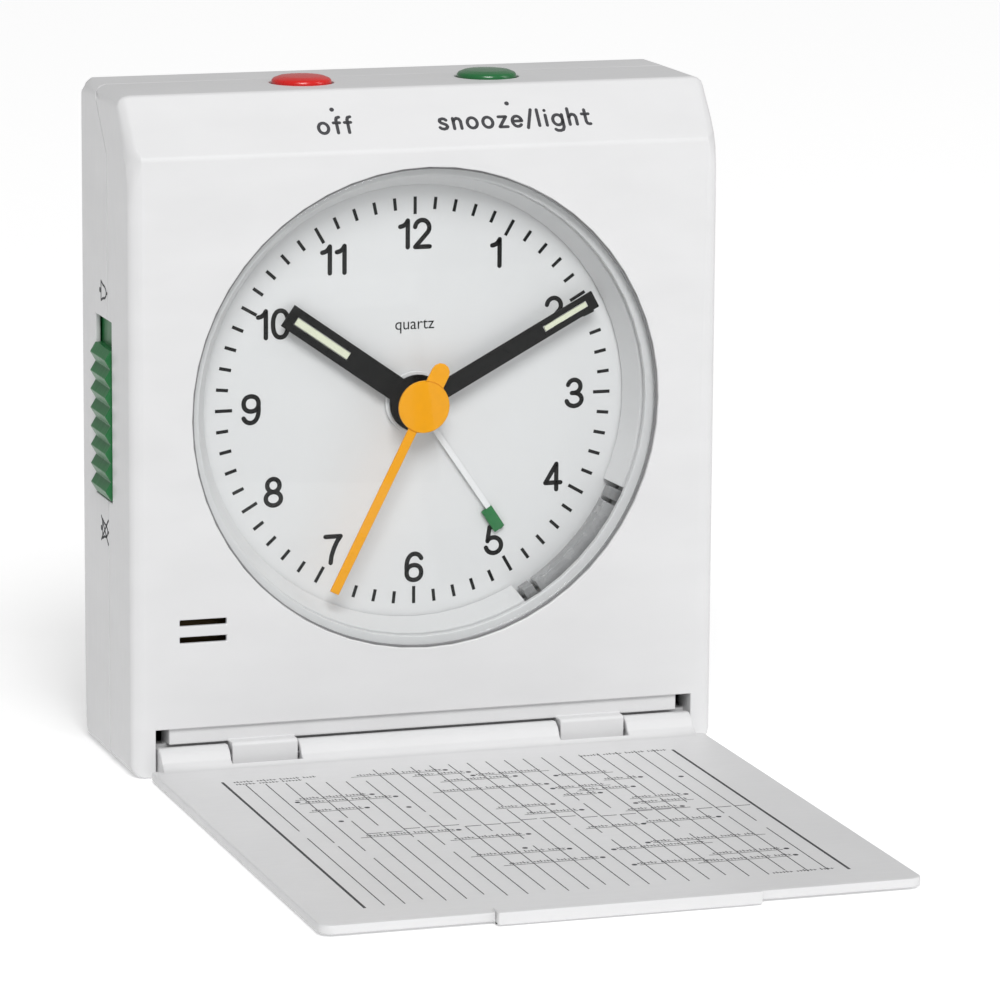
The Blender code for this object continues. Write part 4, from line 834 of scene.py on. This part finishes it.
class HandSet(bpy.types.Operator):
    """Hour, minute, second and alarm hands"""

    bl_idname = "clock.hand_set"
    bl_label = "Hands"

    # node, piece, body, finish and slot of each black, cream or white part
    stamped = (
        ("hour_hand", "hour_hand_blade", "hour_hand", "black_hand", "black_paint"),
        ("minute_hand", "minute_hand_blade", "minute_hand", "black_hand", "black_paint"),
        ("hour_insert", "hour_strip", "hour_hand", "glow_paint", "luminous_paint"),
        ("minute_insert", "minute_strip", "minute_hand", "glow_paint", "luminous_paint"),
        ("alarm_hand", "alarm_hand_blade", "alarm_hand", "white_hand", "white_paint"),
    )

    tip_length: FloatProperty(
        name="Tip length", description="Length of the green end of the alarm hand",
        default=3.1 * MM, unit="LENGTH")
    tip_width: FloatProperty(
        name="Tip width", description="Width of the green end of the alarm hand",
        default=1.5 * MM, unit="LENGTH")

    def execute(self, context):
        edge = context.scene.clock_sizes.hand_edge
        for part in self.stamped:
            refined(*part, edge)
        refined("second_hand", "second_hand_blade", "second_hand", "yellow_hand", "yellow_paint",
                2 * edge, 3)
        self.alarm_tip(edge)
        return {"FINISHED"}

    def alarm_tip(self, edge):
        """The green end, a sleeve over the end of the alarm hand."""
        matrix = dial_sheet()
        low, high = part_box("alarm_hand")
        far = max(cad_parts["alarm_hand"].data.vertices,
                  key=lambda v: (matrix.inverted() @ v.co).xy.length)
        end = matrix.inverted() @ far.co
        direction = Vector((end.x, end.y)).normalized()
        length = Vector((end.x, end.y)).length
        thickness = high.y - low.y + 0.06 * MM
        lift = matrix @ Matrix.Translation((0, 0, dial_front() - (low.y + high.y) / 2))
        bm = bmesh.new()
        add_bar(bm, direction * (length - self.tip_length), direction * (length + 0.1 * MM),
                self.tip_width, thickness, lift)
        bmesh.ops.bevel(bm, geom=bm.edges, offset=edge, offset_type="OFFSET", segments=2,
                        profile=0.5, affect="EDGES", clamp_overlap=True, material=-1)
        settle("alarm_hand_tip", bm, "alarm_hand", "green_tip")


def dial_front():
    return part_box("dial_plate")[0].y


class TopButtons(bpy.types.Operator):
    """Domed off and snooze buttons"""

    bl_idname = "clock.top_buttons"
    bl_label = "Buttons"

    cap_radius: FloatProperty(
        name="Cap radius", description="Radius of a button's cap", default=3.75 * MM,
        unit="LENGTH")
    dome: FloatProperty(
        name="Dome", description="Rise of a button's top", default=0.22 * MM, unit="LENGTH")
    off_skirt: FloatProperty(
        name="Off skirt", description="Depth of the off button's flange below its top",
        default=6.6 * MM, unit="LENGTH")
    snooze_skirt: FloatProperty(
        name="Snooze skirt", description="Depth of the snooze button's flange below its top",
        default=3.0 * MM, unit="LENGTH")
    press: FloatProperty(
        name="Press", description="How far the spring shortens", default=0.8 * MM,
        unit="LENGTH")

    def execute(self, context):
        edge = context.scene.clock_sizes.cap_edge
        self.cap("off_button", "off_cap", "red_gloss", "red_plastic", edge, self.off_skirt)
        self.cap("snooze_button", "snooze_cap", "green_gloss", "green_plastic", edge,
                 self.snooze_skirt)
        self.coil()
        return {"FINISHED"}

    def coil(self):
        """The spring under the snooze button, with a mesh of its own."""
        spring = refined("snooze_spring", "snooze_coil", "case", "steel", "steel", 0.0)
        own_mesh(spring)

    def cap(self, node, name, finish_name, slot, edge, skirt):
        low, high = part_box(node)
        centre = (low + high) / 2
        cap, flange, top = self.cap_radius, (high.x - low.x) / 2, high.z
        crown, under = top - self.dome, top - skirt
        profile = [(0.0, top)]
        profile += [(cap * s, top - self.dome * s * s) for s in (0.2, 0.4, 0.6, 0.75)]
        profile += [(cap - edge + x, crown - edge * 1.15 + y) for x, y in reversed(
            ring_arc(edge, 0.0, math.radians(80), 5))]
        stem, brim = 1.4 * MM, under - 1.2 * MM
        profile += [(cap, under), (flange, under), (flange, brim), (stem, brim), (stem, low.z),
                    (0.0, low.z)]
        bm = bmesh.new()
        lathe(bm, profile, centre, 72)
        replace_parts(settle(name, bm, node, finish_name, 35.0), node)


class SlideSwitch(bpy.types.Operator):
    """Ridged alarm slider and the marks at its ends"""

    bl_idname = "clock.slide_switch"
    bl_label = "Slider"

    on_mark: FloatProperty(
        name="Upper mark", description="Height of the mark above the slider",
        default=58.9 * MM, unit="LENGTH")
    off_mark: FloatProperty(
        name="Lower mark", description="Height of the mark below the slider",
        default=28.9 * MM, unit="LENGTH")

    def execute(self, context):
        sizes = context.scene.clock_sizes
        refined("alarm_slider", "slider_grip", "alarm_slider", "green_matt", "green_plastic",
                0.09 * MM)
        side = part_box("rear_housing")[0].x
        low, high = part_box("alarm_slider")
        middle = (low.y + high.y) / 2
        bm = bmesh.new()
        for height, crossed in ((self.on_mark, False), (self.off_mark, True)):
            matrix = sheet_on((side, middle, height), (0, 0, -1), (0, -1, 0))
            self.bell(bm, matrix, 2 * sizes.ink, crossed)
        settle("slider_marks", bm, "case", "label_ink")
        return {"FINISHED"}

    def bell(self, bm, matrix, ink, crossed):
        """A small bell, with a bar across it for off."""
        width = 0.3 * MM
        dome = [(x * 0.66, y * 1.25) for x, y in ring_arc(1.25 * MM, 0.0, math.pi, 8)]
        side, lip = 1.2 * MM, -1.0 * MM
        outline = [(side, lip)] + dome + [(-side, lip)]
        add_stroke(bm, outline + [outline[0]], width, ink, matrix)
        add_dot(bm, (0.0, lip - 0.5 * MM), 0.36 * MM, ink, matrix, 12)
        add_dot(bm, (0.0, 1.75 * MM), 0.22 * MM, ink, matrix, 10)
        if crossed:
            for turn in (-1, 1):
                add_stroke(bm, [(-1.5 * MM * turn, -1.6 * MM), (1.5 * MM * turn, 1.8 * MM)], width,
                           ink, matrix)


class FrontLabels(bpy.types.Operator):
    """Labels on the sloping top of the front"""

    bl_idname = "clock.front_labels"
    bl_label = "Labels"

    # words, their place across the front, and their dot's
    labels = (("off", -11.2 * MM, -11.35 * MM), ("snooze/light", 11.85 * MM, 11.2 * MM))
    label_rise, dot_rise = 3.6 * MM, 6.25 * MM
    dot_radius = 0.3 * MM

    def execute(self, context):
        sizes = context.scene.clock_sizes
        matrix = facet_sheet()
        ink = sizes.ink
        bm = bmesh.new()
        for words, x, dot in self.labels:
            add_label(bm, words, sizes.label_height, sizes.label_weight, (x, self.label_rise),
                      2 * ink, matrix)
            add_dot(bm, (dot, self.dot_rise), self.dot_radius, 2 * ink, matrix, 16)
        settle("front_labels", bm, "case", "label_ink", 30.0)
        return {"FINISHED"}


class BackFittings(bpy.types.Operator):
    """Setting knobs, their marks and the battery door"""

    bl_idname = "clock.back_fittings"
    bl_label = "Back"

    word_height, word_rise = 1.2 * MM, 10.3 * MM
    arrow_radius, arrow_width, arrow_head = 7.9 * MM, 0.25 * MM, 0.7 * MM

    def execute(self, context):
        sizes = context.scene.clock_sizes
        refined("battery_door", "battery_lid", "battery_door", "white_plastic", "white_plastic",
                0.12 * MM)
        bm = bmesh.new()
        for node, body, words in (("time_knob", "time_setter", "time"),
                                  ("alarm_knob", "alarm_setter", "alarm")):
            refined(node, f"{node}_grip", body, "white_plastic", "white_plastic", 0.1 * MM,
                    angle=40.0)
            low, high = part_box(node)
            centre = (low + high) / 2
            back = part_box("rear_housing")[1].y
            matrix = sheet_on((centre.x, back, centre.z), (-1, 0, 0), (0, 0, 1))
            faces = add_words(bm, words, "m", self.word_height, (0.0, self.word_rise), matrix)
            thicken(bm, faces, sizes.ink, matrix)
            sweep = ring_arc(self.arrow_radius, math.radians(130), math.radians(60), 12)
            add_stroke(bm, sweep, self.arrow_width, 2 * sizes.ink, matrix)
            head = matrix @ Matrix.Translation((*sweep[-1], 0)) @ Matrix.Rotation(
                math.radians(-30), 4, "Z")
            bmesh.ops.create_cone(bm, cap_ends=True, segments=3, radius1=self.arrow_head,
                                  radius2=self.arrow_head, depth=2 * sizes.ink, matrix=head)
        settle("knob_marks", bm, "case", "label_ink", 30.0)
        return {"FINISHED"}


class SealedWorks(bpy.types.Operator):
    """Finishes of the works, the battery and the other pieces inside"""

    bl_idname = "clock.sealed_works"
    bl_label = "Works"

    finishes = {
        "natural_plastic": (
            "alarm_link", "alarm_shaft", "alarm_wheel", "centre_wheel", "hour_wheel",
            "intermediate_wheel", "minute_wheel", "second_wheel", "third_wheel",
            "movement_front_plate", "movement_rear_plate", "battery_box"),
        "steel": ("stator", "coil_core", "contact_positive", "contact_negative"),
        "black_plastic": ("buzzer_cup", "snooze_switch"),
        "brass": ("buzzer_disc",),
        "magnet": ("rotor",),
        "copper_winding": ("coil_winding",),
        "board": ("circuit_board",),
        "cell_jacket": ("battery_cell",),
    }

    def execute(self, context):
        for name, nodes in self.finishes.items():
            for node in nodes:
                repaint(node, name)
        return {"FINISHED"}


class Studio(bpy.types.Operator):
    """Floor, light and camera"""

    bl_idname = "clock.studio"
    bl_label = "Studio"

    key_from = (-0.13, -0.71, 0.68)
    key_spread = math.radians(28)
    aim = Vector((0, 0, 0.04))
    # name, place, width, height and power of the soft lamps
    softboxes = (("softbox_top", (-0.1, -0.75, 0.8), 0.5, 0.4, 1.0),
                 ("softbox_right", (0.7, -0.35, 0.45), 0.25, 0.6, 1.2))
    # direction and corner of the dark card's edge on the floor
    card_edge, card_corner, card_overhang = (0.026, -0.091), (0.097, -0.322), 0.2

    def execute(self, context):
        scene = context.scene
        studio = scene.clock_studio
        scene.view_settings.view_transform = "Standard"
        self.floor(studio)
        self.sky(scene, studio)
        self.lamps(scene, studio)
        self.camera(scene, studio)
        return {"FINISHED"}

    def floor(self, studio):
        bm = bmesh.new()
        bmesh.ops.create_grid(bm, x_segments=8, y_segments=8, size=6.0)
        material = even_finish("floor_paper", studio.floor, 0.85)
        fibres = speckle(material, 4 * MM, 5.0)
        tint(material, fibres, scaled(studio.floor, 0.995), scaled(studio.floor, 1.005))
        shader = shader_of(material)
        shader.inputs["Emission Color"].default_value = (1.0, 1.0, 1.0, 1.0)
        shader.inputs["Emission Strength"].default_value = studio.floor_lift
        self.staged("floor", bm, material)
        self.dark_card()

    def staged(self, name, bm, material):
        """Turn a bmesh into a piece of the stage."""
        mesh = bpy.data.meshes.new(name)
        bm.to_mesh(mesh)
        bm.free()
        mesh.materials.append(material)
        piece = bpy.data.objects.new(name, mesh)
        bpy.context.scene.collection.objects.link(piece)
        return piece

    def dark_card(self):
        """A dark card on the floor, seen only in mirror reflections such as the lens's."""
        half, lift = 0.5, Vector((0, 0, 0.4 * MM))
        edge = Vector((*self.card_edge, 0.0)).normalized()
        across = Vector((-edge.y, edge.x, 0.0))
        corner = Vector((*self.card_corner, 0.0)) - edge * self.card_overhang
        place = Matrix((edge, across, Vector((0, 0, 1)))).transposed().to_4x4()
        place.translation = corner + edge * half - across * half + lift
        bm = bmesh.new()
        bmesh.ops.create_grid(bm, x_segments=1, y_segments=1, size=half)
        bmesh.ops.transform(bm, matrix=place, verts=bm.verts)
        card = self.staged("dark_card", bm, even_finish("card_black", (0.02, 0.02, 0.02), 0.9))
        card.visible_camera = False
        card.visible_diffuse = False
        card.visible_transmission = False
        card.visible_shadow = False

    def sky(self, scene, studio):
        world = bpy.data.worlds.new("sky")
        world.use_nodes = True
        back = world.node_tree.nodes["Background"]
        back.inputs["Color"].default_value = (1.0, 1.0, 1.0, 1.0)
        back.inputs["Strength"].default_value = studio.sky
        scene.world = world

    def lamps(self, scene, studio):
        sun = bpy.data.lights.new("key", "SUN")
        sun.energy = studio.key
        sun.angle = self.key_spread
        key = bpy.data.objects.new("key", sun)
        key.rotation_mode = "QUATERNION"
        key.rotation_quaternion = Vector(self.key_from).to_track_quat("Z", "Y")
        scene.collection.objects.link(key)
        for name, place, width, height, power in self.softboxes:
            light = bpy.data.lights.new(name, "AREA")
            light.shape = "RECTANGLE"
            light.size, light.size_y, light.energy = width, height, power
            lamp = bpy.data.objects.new(name, light)
            lamp.location = place
            lamp.rotation_mode = "QUATERNION"
            lamp.rotation_quaternion = (Vector(place) - self.aim).to_track_quat("Z", "Y")
            scene.collection.objects.link(lamp)

    def camera(self, scene, studio):
        turn, tilt, roll = studio.camera_turn, studio.camera_tilt, studio.camera_roll
        ahead = Vector((math.sin(turn) * math.cos(tilt), math.cos(turn) * math.cos(tilt),
                        -math.sin(tilt)))
        level = Vector((math.cos(turn), -math.sin(turn), 0.0))
        up = level.cross(ahead)
        right = level * math.cos(roll) + up * math.sin(roll)
        up = up * math.cos(roll) - level * math.sin(roll)
        data = bpy.data.cameras.new("camera")
        data.lens = studio.lens
        data.sensor_width = 36.0
        data.clip_start = 0.01
        camera = bpy.data.objects.new("camera", data)
        camera.matrix_world = Matrix.Translation(studio.camera_place) @ Matrix(
            (right, up, -ahead)).transposed().to_4x4()
        scene.collection.objects.link(camera)
        scene.camera = camera


class ClockPanel(bpy.types.Panel):
    """The clock's sizes, colours and steps"""

    bl_idname = "VIEW3D_PT_clock"
    bl_label = "Travel alarm clock"
    bl_space_type = "VIEW_3D"
    bl_region_type = "UI"
    bl_category = "Clock"

    def draw(self, context):
        layout = self.layout
        for operator in STEPS:
            layout.operator(operator.bl_idname)
        for group in ("clock_sizes", "clock_colours", "clock_studio"):
            settings = getattr(context.scene, group)
            box = layout.box()
            for name in settings.bl_rna.properties.keys():
                if name not in {"rna_type", "name"}:
                    box.prop(settings, name)


STEPS = (CaseShells, CoverPanel, CoverChart, DialPrint, LensAndBezel, HandSet, TopButtons,
         SlideSwitch, FrontLabels, BackFittings, SealedWorks, Studio)
GROUPS = (ClockSizes, ClockColours, ClockStudio)


def register():
    for group in (*GROUPS, *STEPS, ClockPanel):
        bpy.utils.register_class(group)
    bpy.types.Scene.clock_sizes = PointerProperty(type=ClockSizes)
    bpy.types.Scene.clock_colours = PointerProperty(type=ClockColours)
    bpy.types.Scene.clock_studio = PointerProperty(type=ClockStudio)


def unregister():
    del bpy.types.Scene.clock_studio
    del bpy.types.Scene.clock_colours
    del bpy.types.Scene.clock_sizes
    for group in reversed((*GROUPS, *STEPS, ClockPanel)):
        bpy.utils.unregister_class(group)


def main():
    register()
    for operator in STEPS:
        family, name = operator.bl_idname.split(".")
        getattr(getattr(bpy.ops, family), name)()


if __name__ == "__main__":
    main()
